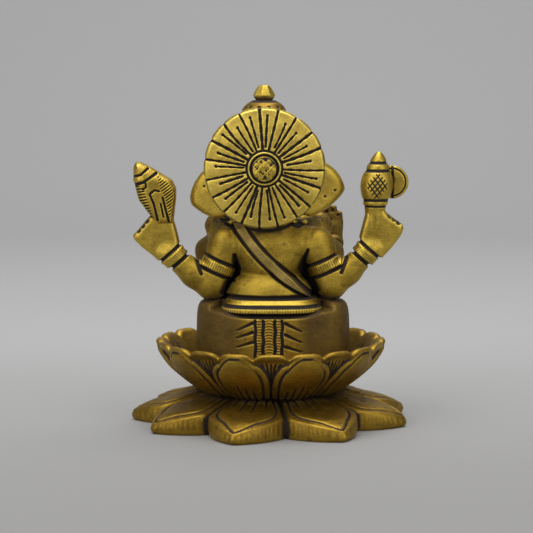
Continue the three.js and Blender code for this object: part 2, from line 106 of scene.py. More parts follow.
def smooth_min(a, b, k):
    """The smaller of two, blended over a width k."""
    h = np.clip(0.5 + 0.5 * (b - a) / k, 0, 1)
    return b * (1 - h) + a * h - k * h * (1 - h)


def smooth_max(a, b, k):
    return -smooth_min(-a, -b, k)


def join(k, *fields):
    """Several fields blended into one."""
    whole = fields[0]
    for field in fields[1:]:
        whole = smooth_min(whole, field, k)
    return whole


def near_path(u, v, path):
    """Distance to a line through [u, v] points, in the plane."""
    best = np.full(u.shape, 1e6)
    for (u0, v0), (u1, v1) in zip(path, path[1:]):
        du, dv = u1 - u0, v1 - v0
        t = np.clip(((u - u0) * du + (v - v0) * dv) / (du * du + dv * dv + 1e-9), 0, 1)
        best = np.minimum(best, np.hypot(u - u0 - t * du, v - v0 - t * dv))
    return best


def outline_field(u, v, corners):
    """Signed distance to a closed outline, negative inside."""
    inside = np.zeros(u.shape, bool)
    for (u0, v0), (u1, v1) in zip(corners, np.roll(corners, -1, axis=0)):
        crosses = (v0 > v) != (v1 > v)
        with np.errstate(divide="ignore", invalid="ignore"):
            inside ^= crosses & (u < (u1 - u0) * (v - v0) / (v1 - v0) + u0)
    closed = list(map(tuple, corners)) + [tuple(corners[0])]
    return near_path(u, v, closed) * np.where(inside, -1, 1)


def resample(points, count, rounds=2):
    """Evenly spaced points on a softened line through the given ones."""
    line = np.array(points, float)
    for _ in range(rounds):
        quarter = 0.75 * line[:-1] + 0.25 * line[1:]
        three = 0.25 * line[:-1] + 0.75 * line[1:]
        middle = np.stack([quarter, three], 1).reshape(-1, line.shape[1])
        line = np.vstack([line[:1], middle[1:-1], line[-1:]])
    steps = np.linalg.norm(np.diff(line, axis=0), axis=1)
    run = np.concatenate([[0], np.cumsum(steps)])
    at = np.linspace(0, run[-1], count)
    return np.stack([np.interp(at, run, line[:, i]) for i in range(line.shape[1])], 1)


def ball(p, at, radii):
    """Near enough the signed distance to an ellipsoid."""
    q = (p - at) / radii
    near = np.linalg.norm(q, axis=-1)
    slope = np.linalg.norm(q / radii, axis=-1)
    return near * (near - 1) / np.maximum(slope, 1e-6)


def limb(p, start, end, start_r, end_r):
    """Signed distance to a round, tapering bar."""
    start, end = np.array(start, float), np.array(end, float)
    run = end - start
    t = np.clip((p - start) @ run / (run @ run + 1e-9), 0, 1)
    return np.linalg.norm(p - start - t[..., None] * run, axis=-1) - (start_r + (end_r - start_r) * t)


def chain(p, joints, k=1.0):
    """Limbs end to end through [x, y, z, radius] joints."""
    runs = [limb(p, a[:3], b[:3], a[3], b[3]) for a, b in zip(joints, joints[1:])]
    return join(k, *runs)


def slab(p, middle, way, half):
    """Between two planes across a direction."""
    way = np.array(way, float) / np.linalg.norm(way)
    return np.abs((p - middle) @ way) - half


def hammered(p, size=3.0, seed=0):
    """Slow, uneven waves in three directions, about -1 to 1, for hand-worked surfaces."""
    turn = np.random.default_rng(seed).uniform(0, 6.28, (3, 3))
    total = 0
    for i, stretch in enumerate((1.0, 1.7, 2.9)):
        q = p * stretch / size
        wave = np.sin(q[..., 0] + turn[i, 0] + np.sin(q[..., 1] * 0.9 + turn[i, 1]))
        total = total + wave * np.sin(q[..., 2] + turn[i, 2] + np.sin(q[..., 0] * 0.7)) / stretch
    return total / 1.5


# ---------------------------------------------------------------- meshes

def new_piece(name, points, faces, groove_and_shade, material):
    """One closed mesh from points in millimetres, with how deep each point lies in a cut line or under
    painted shade.

    It takes the place of the CAD node of the same name.
    """
    a, b, c = (points[faces[:, i]] for i in range(3))
    if np.einsum("ij,ij->i", a, np.cross(b, c)).sum() < 0:
        faces = faces[:, ::-1]
    mesh = bpy.data.meshes.new(name)
    mesh.vertices.add(len(points))
    mesh.vertices.foreach_set("co", (points * MM).astype(np.float32).ravel())
    sides = faces.shape[1]
    mesh.loops.add(faces.size)
    mesh.loops.foreach_set("vertex_index", faces.astype(np.int32).ravel())
    mesh.polygons.add(len(faces))
    mesh.polygons.foreach_set("loop_start", np.arange(0, faces.size, sides, dtype=np.int32))
    mesh.polygons.foreach_set("use_smooth", np.ones(len(faces), bool))
    mesh.update(calc_edges=True)
    mesh.validate()
    keep_attribute(mesh, "groove_and_shade", groove_and_shade)
    mesh.materials.append(material)
    piece = bpy.data.objects.new(name, mesh)
    bpy.context.scene.collection.objects.link(piece)
    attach(piece, "root")
    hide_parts(name)
    pieces.append(piece)
    return piece


def keep_attribute(mesh, name, values):
    """Stores one number for each point, for the material to read."""
    attribute = mesh.attributes.new(name, "FLOAT", "POINT")
    attribute.data.foreach_set("value", np.asarray(values, np.float32).ravel())


def upright_ring(middle, radius, turn, level):
    """Points at a radius round an upright line."""
    x, y = middle[0] + radius * np.cos(turn), middle[1] + radius * np.sin(turn)
    return np.stack([x, y, np.broadcast_to(level, x.shape)], -1)


def facing_ring(middle, radius, turn, depth):
    """Points at a radius round a line that runs from front to back."""
    x, z = middle[0] - radius * np.cos(turn), middle[2] + radius * np.sin(turn)
    return np.stack([x, np.broadcast_to(depth, x.shape), z], -1)


def sheet_faces(rows, columns, close_rows=False):
    """Quads of a grid that runs round by its columns, and round by its rows too if asked."""
    last = rows if close_rows else rows - 1
    i, j = np.meshgrid(np.arange(last), np.arange(columns), indexing="ij")
    below, beside = (i + 1) % rows, (j + 1) % columns
    corners = [i * columns + j, i * columns + beside, below * columns + beside, below * columns + j]
    return np.stack(corners, -1).reshape(-1, 4)


def ring_piece(name, points, groove_and_shade, material):
    """A piece whose grid closes both ways, such as a disc with a hole."""
    rows, columns = points.shape[:2]
    faces = sheet_faces(rows, columns, close_rows=True)
    return new_piece(name, points.reshape(-1, 3), faces, groove_and_shade, material)


def capped_piece(name, points, groove_and_shade, material):
    """A piece whose first and last rows each close on one point."""
    rows, columns = points.shape[:2]
    flat = np.vstack([points.reshape(-1, 3), points[0].mean(0), points[-1].mean(0)])
    here = np.arange(columns)
    beside = (here + 1) % columns
    last, pole = (rows - 1) * columns, rows * columns
    ends = [np.stack([beside, here, np.full(columns, pole)], -1),
            np.stack([last + here, last + beside, np.full(columns, pole + 1)], -1)]
    quads = sheet_faces(rows, columns)
    halves = np.vstack([quads[:, [0, 1, 2]], quads[:, [0, 2, 3]], *ends])
    depth = np.concatenate([np.asarray(groove_and_shade).ravel(), [0, 0]])
    return new_piece(name, flat, halves, depth, material)


POLE = 0.05  # radius at which a turned profile meets its own axis
BLOCK = 8  # cells along each side of a block


def sample(field, low, pitch, blocks):
    """A field's values on a grid, worked out only in the blocks that its surface can cross."""
    index = np.stack(np.meshgrid(*[np.arange(n) for n in blocks], indexing="ij"), -1)
    corner = low + index * BLOCK * pitch
    rough = field((corner + BLOCK * pitch / 2).reshape(-1, 3))[0].reshape(blocks)
    reach = BLOCK * pitch * 1.1 + 1.2
    values = np.repeat(np.clip(rough, -reach, reach)[..., None], BLOCK ** 3, -1)
    steps = np.stack(np.meshgrid(*[np.arange(BLOCK)] * 3, indexing="ij"), -1).reshape(-1, 3) * pitch
    near = np.argwhere(np.abs(rough) < reach)
    for group in np.array_split(near, max(1, len(near) // 600)):
        at = corner[tuple(group.T)][:, None] + steps
        values[tuple(group.T)] = field(at.reshape(-1, 3))[0].reshape(len(group), -1)
    cubes = values.reshape(*blocks, BLOCK, BLOCK, BLOCK).transpose(0, 3, 1, 4, 2, 5)
    return cubes.reshape(np.array(blocks) * BLOCK)


def settle(field, points, pitch):
    """Moves points onto the surface where the field is zero."""
    step = 0.3 * pitch
    for _ in range(2):
        here = field(points)[0]
        slope = np.stack([field(points + step * axis)[0] - here for axis in np.eye(3)], 1) / step
        steep = np.maximum((slope ** 2).sum(1), 0.3)
        move = -(here / steep)[:, None] * slope
        length = np.linalg.norm(move, axis=1, keepdims=True)
        points = points + move * np.minimum(1, 0.7 * pitch / np.maximum(length, 1e-9))
    return points


def skin(name, field, material, pitch, margin=2.0):
    """The surface of a field, around the node's box."""
    low, high = box_mm(name)
    low, high = low - margin, high + margin
    blocks = np.ceil((high - low) / pitch / BLOCK).astype(int) + 1
    values = sample(field, low, pitch, blocks).astype(np.float32)
    grid = openvdb.FloatGrid(100.0)
    grid.copyFromArray(values)
    cells, quads = grid.convertToQuads(0.0)
    points = settle(field, low + cells.astype(float) * pitch, pitch)
    return new_piece(name, points, quads, field(points)[1], material)


# ---------------------------------------------------------------- materials

# Colours of the patina and the dirt, lightest first; the corner colour is patina and painted shade both.
THIN_PATINA = (0.13, 0.085, 0.028, 1)
FILM = (0.07, 0.036, 0.010, 1)
CORNER_PATINA_AND_SHADE = (0.035, 0.018, 0.007, 1)
STROKE = (0.03, 0.018, 0.008, 1)
PIT = (0.02, 0.011, 0.006, 1)
CUT_PATINA_AND_SHADE = (0.012, 0.0065, 0.004, 1)
WEAR_GAIN = 1.25  # how much lighter rubbed edges are
TURN = 6.2832  # radians
RELIEF_MM, RELIEF_SHARE = 0.12, 0.35


def brass(name, bright=(0.66, 0.47, 0.072), deep=(0.32, 0.212, 0.034), grime=0.5, rough=0.45,
          hatch=None, film=0.0):
    """Cast brass, rubbed bright on the high spots, with near-black patina in its cuts.

    hatch is (direction, lines per mm, strength): rows of fine chisel strokes across a direction.
    film is how much of the whole surface lies under dull brown patina.
    """
    material = bpy.data.materials.new(name)
    material.use_nodes = True
    nodes, links = material.node_tree.nodes, material.node_tree.links
    shader = nodes["Principled BSDF"]

    def feed(socket, value):
        if isinstance(value, bpy.types.NodeSocket):
            links.new(value, socket)
        else:
            socket.default_value = value

    def node(kind, inputs=(), **settings):
        made = nodes.new(kind)
        for key, value in settings.items():
            setattr(made, key, value)
        for key, value in dict(inputs).items():
            feed(made.inputs[key], value)
        return made

    def attribute(label):
        return node("ShaderNodeAttribute", attribute_name=label).outputs["Fac"]

    def math(operation, a, b=0.0, clamp=False):
        return node("ShaderNodeMath", {0: a, 1: b}, operation=operation, use_clamp=clamp).outputs[0]

    def times(a, b, clamp=False):
        return math("MULTIPLY", a, b, clamp)

    def plus(a, b, clamp=False):
        return math("ADD", a, b, clamp)

    def minus(a, b):
        return math("SUBTRACT", a, b)

    def spread(value, low, high, to_low=0.0, to_high=1.0):
        inputs = {"Value": value, "From Min": low, "From Max": high, "To Min": to_low, "To Max": to_high}
        return node("ShaderNodeMapRange", inputs, interpolation_type="SMOOTHSTEP").outputs["Result"]

    def mix(share, a, b):
        made = nodes.new("ShaderNodeMix")
        made.data_type = "RGBA"
        for socket, value in ((0, share), (6, a), (7, b)):
            feed(made.inputs[socket], value)
        return made.outputs[2]

    place = node("ShaderNodeTexCoord").outputs["Object"]

    def noise(per_mm, detail=3.0, stretch=(1, 1, 1)):
        moved = node("ShaderNodeMapping", {"Vector": place, "Scale": [s / MM * per_mm for s in stretch]})
        inputs = {"Vector": moved.outputs[0], "Scale": 1.0, "Detail": detail, "Roughness": 0.6}
        return node("ShaderNodeTexNoise", inputs).outputs["Fac"]

    broad, blotch, fine, grain = noise(0.11), noise(0.45, 4.0), noise(2.2, 2.0), noise(5.5, 2.0)
    brushed = noise(1.0, 3.0, (0.5, 0.5, 4.0))
    groove_and_shade, crevice_shade, edge = attribute("groove_and_shade"), attribute("crevice_shade"), attribute("edge")

    # Patina: solid in the cuts and in patches elsewhere. In corners and between parts the colour is thinner
    # patina together with painted shade, read from how walled in each point is (painted ambient occlusion).
    corner = times(crevice_shade, spread(blotch, 0.25, 0.7, 0.65, 1.25))
    shade = spread(corner, 0.30, 0.95)
    # This value also carries painted shade (the armpits, the halo's shadow on the back), which takes the cut
    # colour.
    cut = spread(plus(groove_and_shade, times(minus(fine, 0.5), 0.35)), 0.16, 0.50)
    patches = times(spread(blotch, 0.50, 0.72), grime * 0.55)
    worn = times(edge, spread(fine, 0.3, 0.6, 0.4, 1.0), clamp=True)

    level = plus(times(broad, 0.9), times(brushed, 0.45))
    level = plus(level, times(minus(grain, 0.5), 1.5))
    gold = mix(spread(level, 0.42, 0.92), (*deep, 1), (*bright, 1))
    light = tuple(min(1.0, c * WEAR_GAIN) for c in bright)
    gold = mix(times(worn, 0.55), gold, (*light, 1))
    brown = mix(patches, gold, THIN_PATINA)
    brown = mix(times(shade, 0.93), brown, CORNER_PATINA_AND_SHADE)
    colour = mix(cut, brown, CUT_PATINA_AND_SHADE)
    # Cuts and the painted corner shade both make the metal duller and rougher.
    dirt_and_shade = math("MAXIMUM", cut, times(shade, 0.9))
    if film:
        uneven = plus(broad, times(brushed, 0.3))
        veil = times(spread(uneven, 0.35, 0.85, 1.0, 0.25 + 0.55 * film), film)
        # Objects that store film_cleared lose the film there.
        veil = times(veil, minus(1.0, attribute("film_cleared")), clamp=True)
        colour = mix(veil, colour, FILM)
        dirt_and_shade = math("MAXIMUM", dirt_and_shade, times(veil, 0.45))
    height = plus(times(fine, 0.45), times(brushed, 0.45))
    height = plus(height, times(grain, 0.7))
    pits = node("ShaderNodeTexVoronoi", {"Vector": place, "Scale": 0.42 / MM}).outputs["Distance"]
    speck = times(spread(pits, 0.085, 0.05), spread(blotch, 0.48, 0.56), clamp=True)
    colour = mix(speck, colour, PIT)
    dirt_and_shade = math("MAXIMUM", dirt_and_shade, speck)
    height = minus(height, speck)

    if hatch:
        way, per_mm, strength = hatch
        along = node("ShaderNodeVectorMath", {0: place, 1: way}, operation="DOT_PRODUCT").outputs["Value"]
        phase = plus(times(along, per_mm * TURN / MM), times(blotch, 3.0))
        wave = times(plus(math("SINE", phase), 1.0), 0.5)
        strokes = times(spread(wave, 0.62, 0.95), spread(fine, 0.25, 0.55, 0.4, 1.0))
        colour = mix(times(strokes, strength), colour, STROKE)
        height = minus(height, times(strokes, 1.6 * strength))

    links.new(colour, shader.inputs["Base Color"])
    links.new(spread(dirt_and_shade, 0.0, 1.0, 1.0, 0.15), shader.inputs["Metallic"])
    gloss = plus(times(brushed, 0.16), rough - 0.08)
    gloss = plus(gloss, times(dirt_and_shade, 0.30), clamp=True)
    links.new(gloss, shader.inputs["Roughness"])
    relief = node("ShaderNodeBump", {"Height": height, "Strength": RELIEF_SHARE, "Distance": RELIEF_MM * MM})
    links.new(relief.outputs[0], shader.inputs["Normal"])
    return material


# ---------------------------------------------------------------- lower lotus

BASE_TIPS = np.radians([1, 34, 75, 120, 163, 194, 227, 261, 294, 328])
BASE_VALLEY_R, BASE_TIP_R = 30.6, 41.3
ORIGIN = (0.0, 0.0)


def petal_place(angle, tips):
    """Which petal an angle lies in: its signed angle from the tip, and 0 on the tip to 1 in the valley."""
    gap = (angle[..., None] - tips + np.pi) % (2 * np.pi) - np.pi
    nearest = np.abs(gap).argmin(-1)
    from_tip = np.take_along_axis(gap, nearest[..., None], -1)[..., 0]
    steps = (np.roll(tips, -1) - tips) % (2 * np.pi)
    after, before = steps[nearest] / 2, np.roll(steps, 1)[nearest] / 2
    half = np.where(from_tip > 0, after, before)
    return from_tip, np.clip(np.abs(from_tip) / half, 0, 1), half, nearest


def base_radius(angle):
    _, valley, _, _ = petal_place(angle, BASE_TIPS)
    return BASE_VALLEY_R + (BASE_TIP_R - BASE_VALLEY_R) * (1 - valley ** 1.14) ** 0.85


REACH = 60  # steps along the outline that are searched on each side


def from_outline(x, y, radius_at, count=1600):
    """Distance to a closed outline given by its radius at each angle."""
    angles = turns(count)
    edge = np.stack([np.cos(angles), np.sin(angles)], 1) * radius_at(angles)[:, None]
    turn = np.arctan2(y, x) / (2 * np.pi) * count
    best = np.full(x.shape, 1e6)
    for shift in range(-REACH, REACH + 1):
        near = edge[(np.round(turn).astype(int) + shift) % count]
        best = np.minimum(best, np.hypot(x - near[..., 0], y - near[..., 1]))
    return best


def lotus_base():
    low, high = box_mm("lotus_base")
    foot, top = low[2], high[2]
    columns, top_rows, side_rows = 800, 84, 13
    angle = turns(columns)
    rim = base_radius(angle)
    hole_r, ring_r = 1.8, 24.0

    shares = 1 - (1 - np.linspace(0, 1, top_rows)) ** 1.35
    r = hole_r + shares[:, None] * (rim - hole_r)
    turn = np.broadcast_to(angle, r.shape)
    x, y = r * np.cos(turn), r * np.sin(turn)
    from_tip, valley, half, petal = petal_place(turn, BASE_TIPS)
    to_edge = from_outline(x, y, base_radius)
    to_valley = (1 - valley) * half * r
    inside = smooth_min(to_edge, to_valley, 2.4)

    slope_r, slope_z = [0, 17, 22, 31, 36, 39.5, 41.5], [top, top, top - 0.4, 6.7, 5.5, 4.3, 3.3]
    height = np.interp(r, slope_r, slope_z)
    crown = 0.5 * ramp(0, 4.5, inside) - 0.3
    crease = -1.5 * np.exp(-(to_valley / 0.75) ** 2) * ramp(15, 21, r)
    rounding = -0.35 * np.exp(-to_edge / 0.22)
    inset = 0.8 + 1.3 * ramp(0, 0.35, valley)
    line = bump(inside - inset, 1.05) * ramp(17, 20, r) * ramp(0.2, 0.9, to_edge)
    veins = np.zeros(r.shape)
    for share, reach in ((-0.52, 25.0), (-0.17, 27.5), (0.17, 28.0), (0.52, 25.5)):
        length = reach + np.sin(petal * 2.3 + share * 9) * 0.9
        across = (from_tip - share * half) * r
        stroke = bump(np.hypot(across, np.maximum(0, r - length)), 0.9)
        dot = bump(np.hypot(across, r - length - 0.9), 1.3) * 0.9
        veins = highest([veins, stroke, dot])
    cut = np.maximum(line, veins)
    dark = np.maximum(cut, np.exp(-(to_valley / 0.7) ** 2) * ramp(16, 20, r) * 0.9)
    points = np.stack([x, y, height + crown + crease + rounding - 0.55 * cut], -1)
    points[..., 2] += 0.10 * hammered(points, 4.0, 1) * ramp(0, 2, to_edge)

    drops = np.linspace(0, 1, side_rows + 1)[1:, None]
    side = np.repeat(points[-1:], side_rows, 0)
    side[..., 2] = points[-1, :, 2] * (1 - drops) + foot * drops
    bulge = 1 + 0.012 * np.sin(np.pi * drops) - 0.012 * drops ** 6
    filed = 0.10 * np.sin(angle * 190 + 3 * np.sin(angle * 17)) * np.sin(np.pi * drops)
    side[..., :2] *= bulge[..., None] + (filed / 40)[..., None]
    side_dark = np.exp(-((1 - petal_place(angle, BASE_TIPS)[1]) * 10 / 0.8) ** 2) * np.ones((side_rows, 1))

    underside = ((ring_r + 3, 0), (ring_r, 0), (ring_r - 1.2, 1.0), (ring_r - 2, 1.6), (8, 1.7),
                 (5.2, 1.7), (5, 1.9), (5, 4.2), (4.8, 4.4), (hole_r, 4.4))
    under = [upright_ring(ORIGIN, radius, angle, foot + lift) for radius, lift in underside]
    every = np.concatenate([points, side, np.array(under)])
    depth = np.concatenate([dark, side_dark, np.zeros((len(under), columns))])
    ring_piece("lotus_base", every, depth, aged)


# ---------------------------------------------------------------- upper lotus

PETALS = 10
PETAL_LENGTH = 24  # up the slanted wall
BOWL_WALL_ROWS, BOWL_WALL_RISE = 64, 16.0


def lotus_bowl():
    low, high = box_mm("lotus_bowl")
    rim_r, foot_z, rim_z = high[0] - 0.2, low[2], high[2]
    columns = 720
    angle = turns(columns)
    outer_tips = np.radians(np.arange(PETALS) * 360 / PETALS)
    scallop = 1 - (1 - np.abs(np.cos(PETALS * angle))) ** 2.2
    lip_drop = 1.5 * (1 - scallop)

    wall = resample([(17.2, 0), (19.6, 0.5), (21.9, 1.4), (25.8, 4.7), (31.0, 9.8), (rim_r, BOWL_WALL_RISE)],
                    BOWL_WALL_ROWS)
    share = np.linspace(0, 1, BOWL_WALL_ROWS)[:, None]
    r = np.repeat(wall[:, :1], columns, 1)
    z = foot_z + wall[:, 1:2] / BOWL_WALL_RISE * (rim_z - foot_z - 0.3 - lip_drop * share ** 3)
    r = r - 0.8 * (1 - scallop) * share ** 4
    turn = np.broadcast_to(angle, r.shape)
    from_tip, _, _, petal = petal_place(turn, outer_tips)
    half_angle = np.radians(17.6) * np.clip(1 - share ** 5 * 0.92, 0, 1) ** 0.75
    inside = (half_angle - np.abs(from_tip)) * r * 0.95
    from_rim = (1 - share) * PETAL_LENGTH
    inside = np.minimum(inside, np.where(from_rim > 0, from_rim + 1.0, 0))
    raised = ramp(-0.3, 0.5, inside)
    pillow = 1.1 * raised + 0.55 * ramp(0, 4.5, inside)
    line = bump(inside - 1.9, 1.1) * ramp(0.04, 0.14, share)
    line *= 1 - 0.75 * ramp(0.55, 0.9, share) * ramp(0.0, 0.08, from_tip)
    veins = np.zeros(r.shape)
    for lean, reach in ((-0.55, 0.30), (-0.20, 0.42), (0.16, 0.45), (0.52, 0.33)):
        along = share - (reach + 0.04 * np.sin(petal * 1.7 + lean * 8))
        across = (from_tip - lean * np.radians(13)) * r
        stroke = bump(np.hypot(across, np.maximum(0, along) * PETAL_LENGTH), 0.8) * ramp(0.0, 0.05, share)
        dot = bump(np.hypot(across, (along - 0.035) * PETAL_LENGTH), 1.2)
        veins = highest([veins, stroke, dot])
    fan = np.zeros(r.shape)
    from_inner = np.abs(from_tip) - np.radians(18)
    for lean in (0.0, 2.6, 5.2):
        target = -np.radians(lean) * np.clip((share - 0.45) / 0.45, 0, 1)
        length = ramp(0.44, 0.5, share) * (1 - ramp(0.84, 0.90, share))
        fan = np.maximum(fan, bump((from_inner - target) * r, 0.75) * length * (inside < -0.3))
    cut = np.maximum(np.maximum(line, veins), fan)
    between = np.exp(-((inside + 0.2) / 0.30) ** 2)
    dark = np.maximum(cut, between * ramp(0.05, 0.2, share) * ramp(1.0, 0.85, share))
    out = pillow - 0.8 - 0.5 * cut
    out = out * ramp(0, 0.12, share) * (1 - 0.75 * ramp(0.88, 1.0, share))
    slope = np.gradient(wall, axis=0)
    normal = np.stack([slope[:, 1], -slope[:, 0]], 1)
    normal /= np.linalg.norm(normal, axis=1, keepdims=True)
    r = r + out * normal[:, :1]
    z = z + out * normal[:, 1:]
    outside = upright_ring(ORIGIN, r, turn, z)
    outside += 0.05 * hammered(outside, 3.0, 2)[..., None]

    rows, depths = [], []
    edge_r, edge_z = r[-1], z[-1]
    for inset, lift in ((0.35, 0.45), (0.9, 0.62), (1.6, 0.55), (2.3, 0.25), (2.9, -0.4), (3.3, -1.3)):
        rows.append((edge_r - inset, edge_z + lift))
        depths.append(np.zeros(columns))
    start_r, start_z = rows[-1]
    floor_z = box_mm("dhoti_seat")[0][2] - 0.2
    for t in np.linspace(0, 1, 26)[1:]:
        inner_r = start_r * (1 - t) + 23.0 * t
        inner_z = start_z + (floor_z - start_z) * np.sin(t * np.pi / 2) ** 1.15
        crease = np.exp(-((np.abs(from_inner[0]) * inner_r) / 0.8) ** 2)
        rows.append((inner_r, inner_z - 0.5 * crease * np.sin(np.pi * t)))
        depths.append(crease * np.sin(np.pi * t) * 0.8)
    for level, radii in ((floor_z, (18, 10, 1.8)), (foot_z, (1.8, 8, 16))):
        for radius in radii:
            rows.append((radius, level))
            depths.append(np.zeros(columns))
    inner = np.array([upright_ring(ORIGIN, radius, angle, level) for radius, level in rows])
    every = np.concatenate([outside, inner])
    depth = np.concatenate([dark, np.array(depths)])
    ring_piece("lotus_bowl", every, depth, aged)


# ---------------------------------------------------------------- halo

LONG_LINES = 19


def halo_disc():
    low, high = box_mm("halo_disc")
    middle = (low + high) / 2
    radius = (high[0] - low[0]) / 2
    columns = LONG_LINES * 42
    turn = turns(columns)
    lean = rng.normal(0, 0.022, 2 * LONG_LINES)
    width = rng.uniform(0.78, 1.1, 2 * LONG_LINES)
    reach = rng.uniform(0.76, 0.88, 2 * LONG_LINES)
    sway = rng.normal(0, 0.02, 2 * LONG_LINES)
    first = np.radians(94.8)
    spacing = np.pi / LONG_LINES

    notch = np.abs(np.cos((turn - first) * LONG_LINES / 2)) ** 14
    rim = radius * (1 - 0.017 * notch + 0.004 * np.sin(turn * 3 + 1))
    shares = np.linspace(0, 1, 74)[:, None]
    hole_r = 1.9
    r = hole_r + shares * (rim - hole_r)
    angle = np.broadcast_to(turn, r.shape)
    reach_share = r / radius
    line = np.zeros(r.shape)
    dots = np.zeros(r.shape)
    for k in range(2 * LONG_LINES):
        bend = sway[k] * np.sin(np.pi * reach_share)
        gap = (angle - first - k * spacing - lean[k] - bend + np.pi) % (2 * np.pi) - np.pi
        across = gap * r
        full = k % 2 == 0
        end = radius * (1.03 if full else reach[k])
        start = 5.4 if full else 6.0 + 0.35 * (k % 3)
        past = np.maximum(0, np.maximum(r - end, start - r))
        uneven = 1 + 0.16 * np.sin(r * 2.3 + k * 1.9) + 0.08 * np.sin(r * 7.1 + k)
        line = np.maximum(line, bump(np.hypot(across, past), width[k] * uneven * (1.1 if full else 1.0)))
        if not full:
            dots = np.maximum(dots, bump(np.hypot(across, r - end), 1.25))
    petal = np.abs(np.sin((angle - first) * LONG_LINES / 2)) ** 0.7
    ring_cut = bump(r - 5.15, 0.95) + bump(r - 3.9, 0.9)
    cut = np.clip(np.maximum(np.maximum(line, dots), ring_cut), 0, 1)
    cut = np.maximum(cut, 0.38 * ramp(radius * 0.962, radius * 0.982, r))
    dome = np.interp(r, [0, 6, 13, radius - 0.6, radius - 0.15, radius], [2.5, 2.35, 1.6, 0.78, 0.62, 0.3])
    face = middle[1] - 0.65
    front = face + dome + 0.22 * petal * ramp(6, 12, r) * (1 - ramp(radius - 0.7, radius, r))
    front += 0.35 * ramp(3.9, 4.5, r) * (1 - ramp(4.7, 5.2, r)) - 0.5 * cut
    points = facing_ring(middle, r, angle, front)
    points[..., 1] += 0.06 * hammered(points, 2.4, 3)

    rows = [facing_ring(middle, rim * share, turn, face + lift) for share, lift in (
        (1.004, -0.55), (0.995, -1.2), (0.97, -1.35), (0.8, -1.0), (0.5, -0.6), (0.2, -0.4))]
    every = np.concatenate([points, np.array(rows)])
    depth = np.concatenate([cut, np.zeros((len(rows), columns))])
    ring_piece("halo_disc", every, depth, halo_lit_brass)


def halo_rivet():
    """A hammered rivet head, with its shank through the halo."""
    low, high = box_mm("halo_rivet")
    centre = spot("halo_disc") - (0, 0, 0.3)
    radius, back = (high[0] - low[0]) / 2 - 0.3, high[1]
    columns = 160
    turn = turns(columns)
    shares = np.linspace(0.02, 1, 44)[:, None]
    r = shares * radius * np.ones(columns)
    points = facing_ring(centre, r, np.broadcast_to(turn, r.shape), back - 0.6 - 0.5 * shares ** 3)
    dents = 0.6 * hammered(points, 0.9, 5) + 0.6 * hammered(points, 0.4, 6)
    points[..., 1] += 0.22 * dents * (1 - shares ** 6)
    dark = 0.8 * np.clip(-dents * 1.3 + 0.05, 0, 1) + ramp(0.88, 1.0, shares) * 0.9
    rows = [facing_ring(centre, radius * share, turn, back + level)
            for share, level in ((1.0, -1.7), (0.5, -2.2), (0.4, -9.0), (0.05, -9.2))]
    depth = np.concatenate([np.clip(dark, 0, 1), np.full((len(rows), columns), 0.6)])
    capped_piece("halo_rivet", np.concatenate([points, np.array(rows)]), depth, bright)


# ---------------------------------------------------------------- lap under pleated cloth

BELT_FOOT_Z = 33.15
PLEATS = (4.6, 2.3, -1.2, -3.3)
FOLDS = ((5.4, 31.4, 10.0, 29.3), (5.4, 28.7, 10.0, 27.1), (5.4, 25.8, 10.0, 24.4),
         (-4.2, 31.3, -8.9, 29.0), (-4.2, 28.0, -8.9, 25.8), (-4.2, 24.5, -8.9, 23.0))


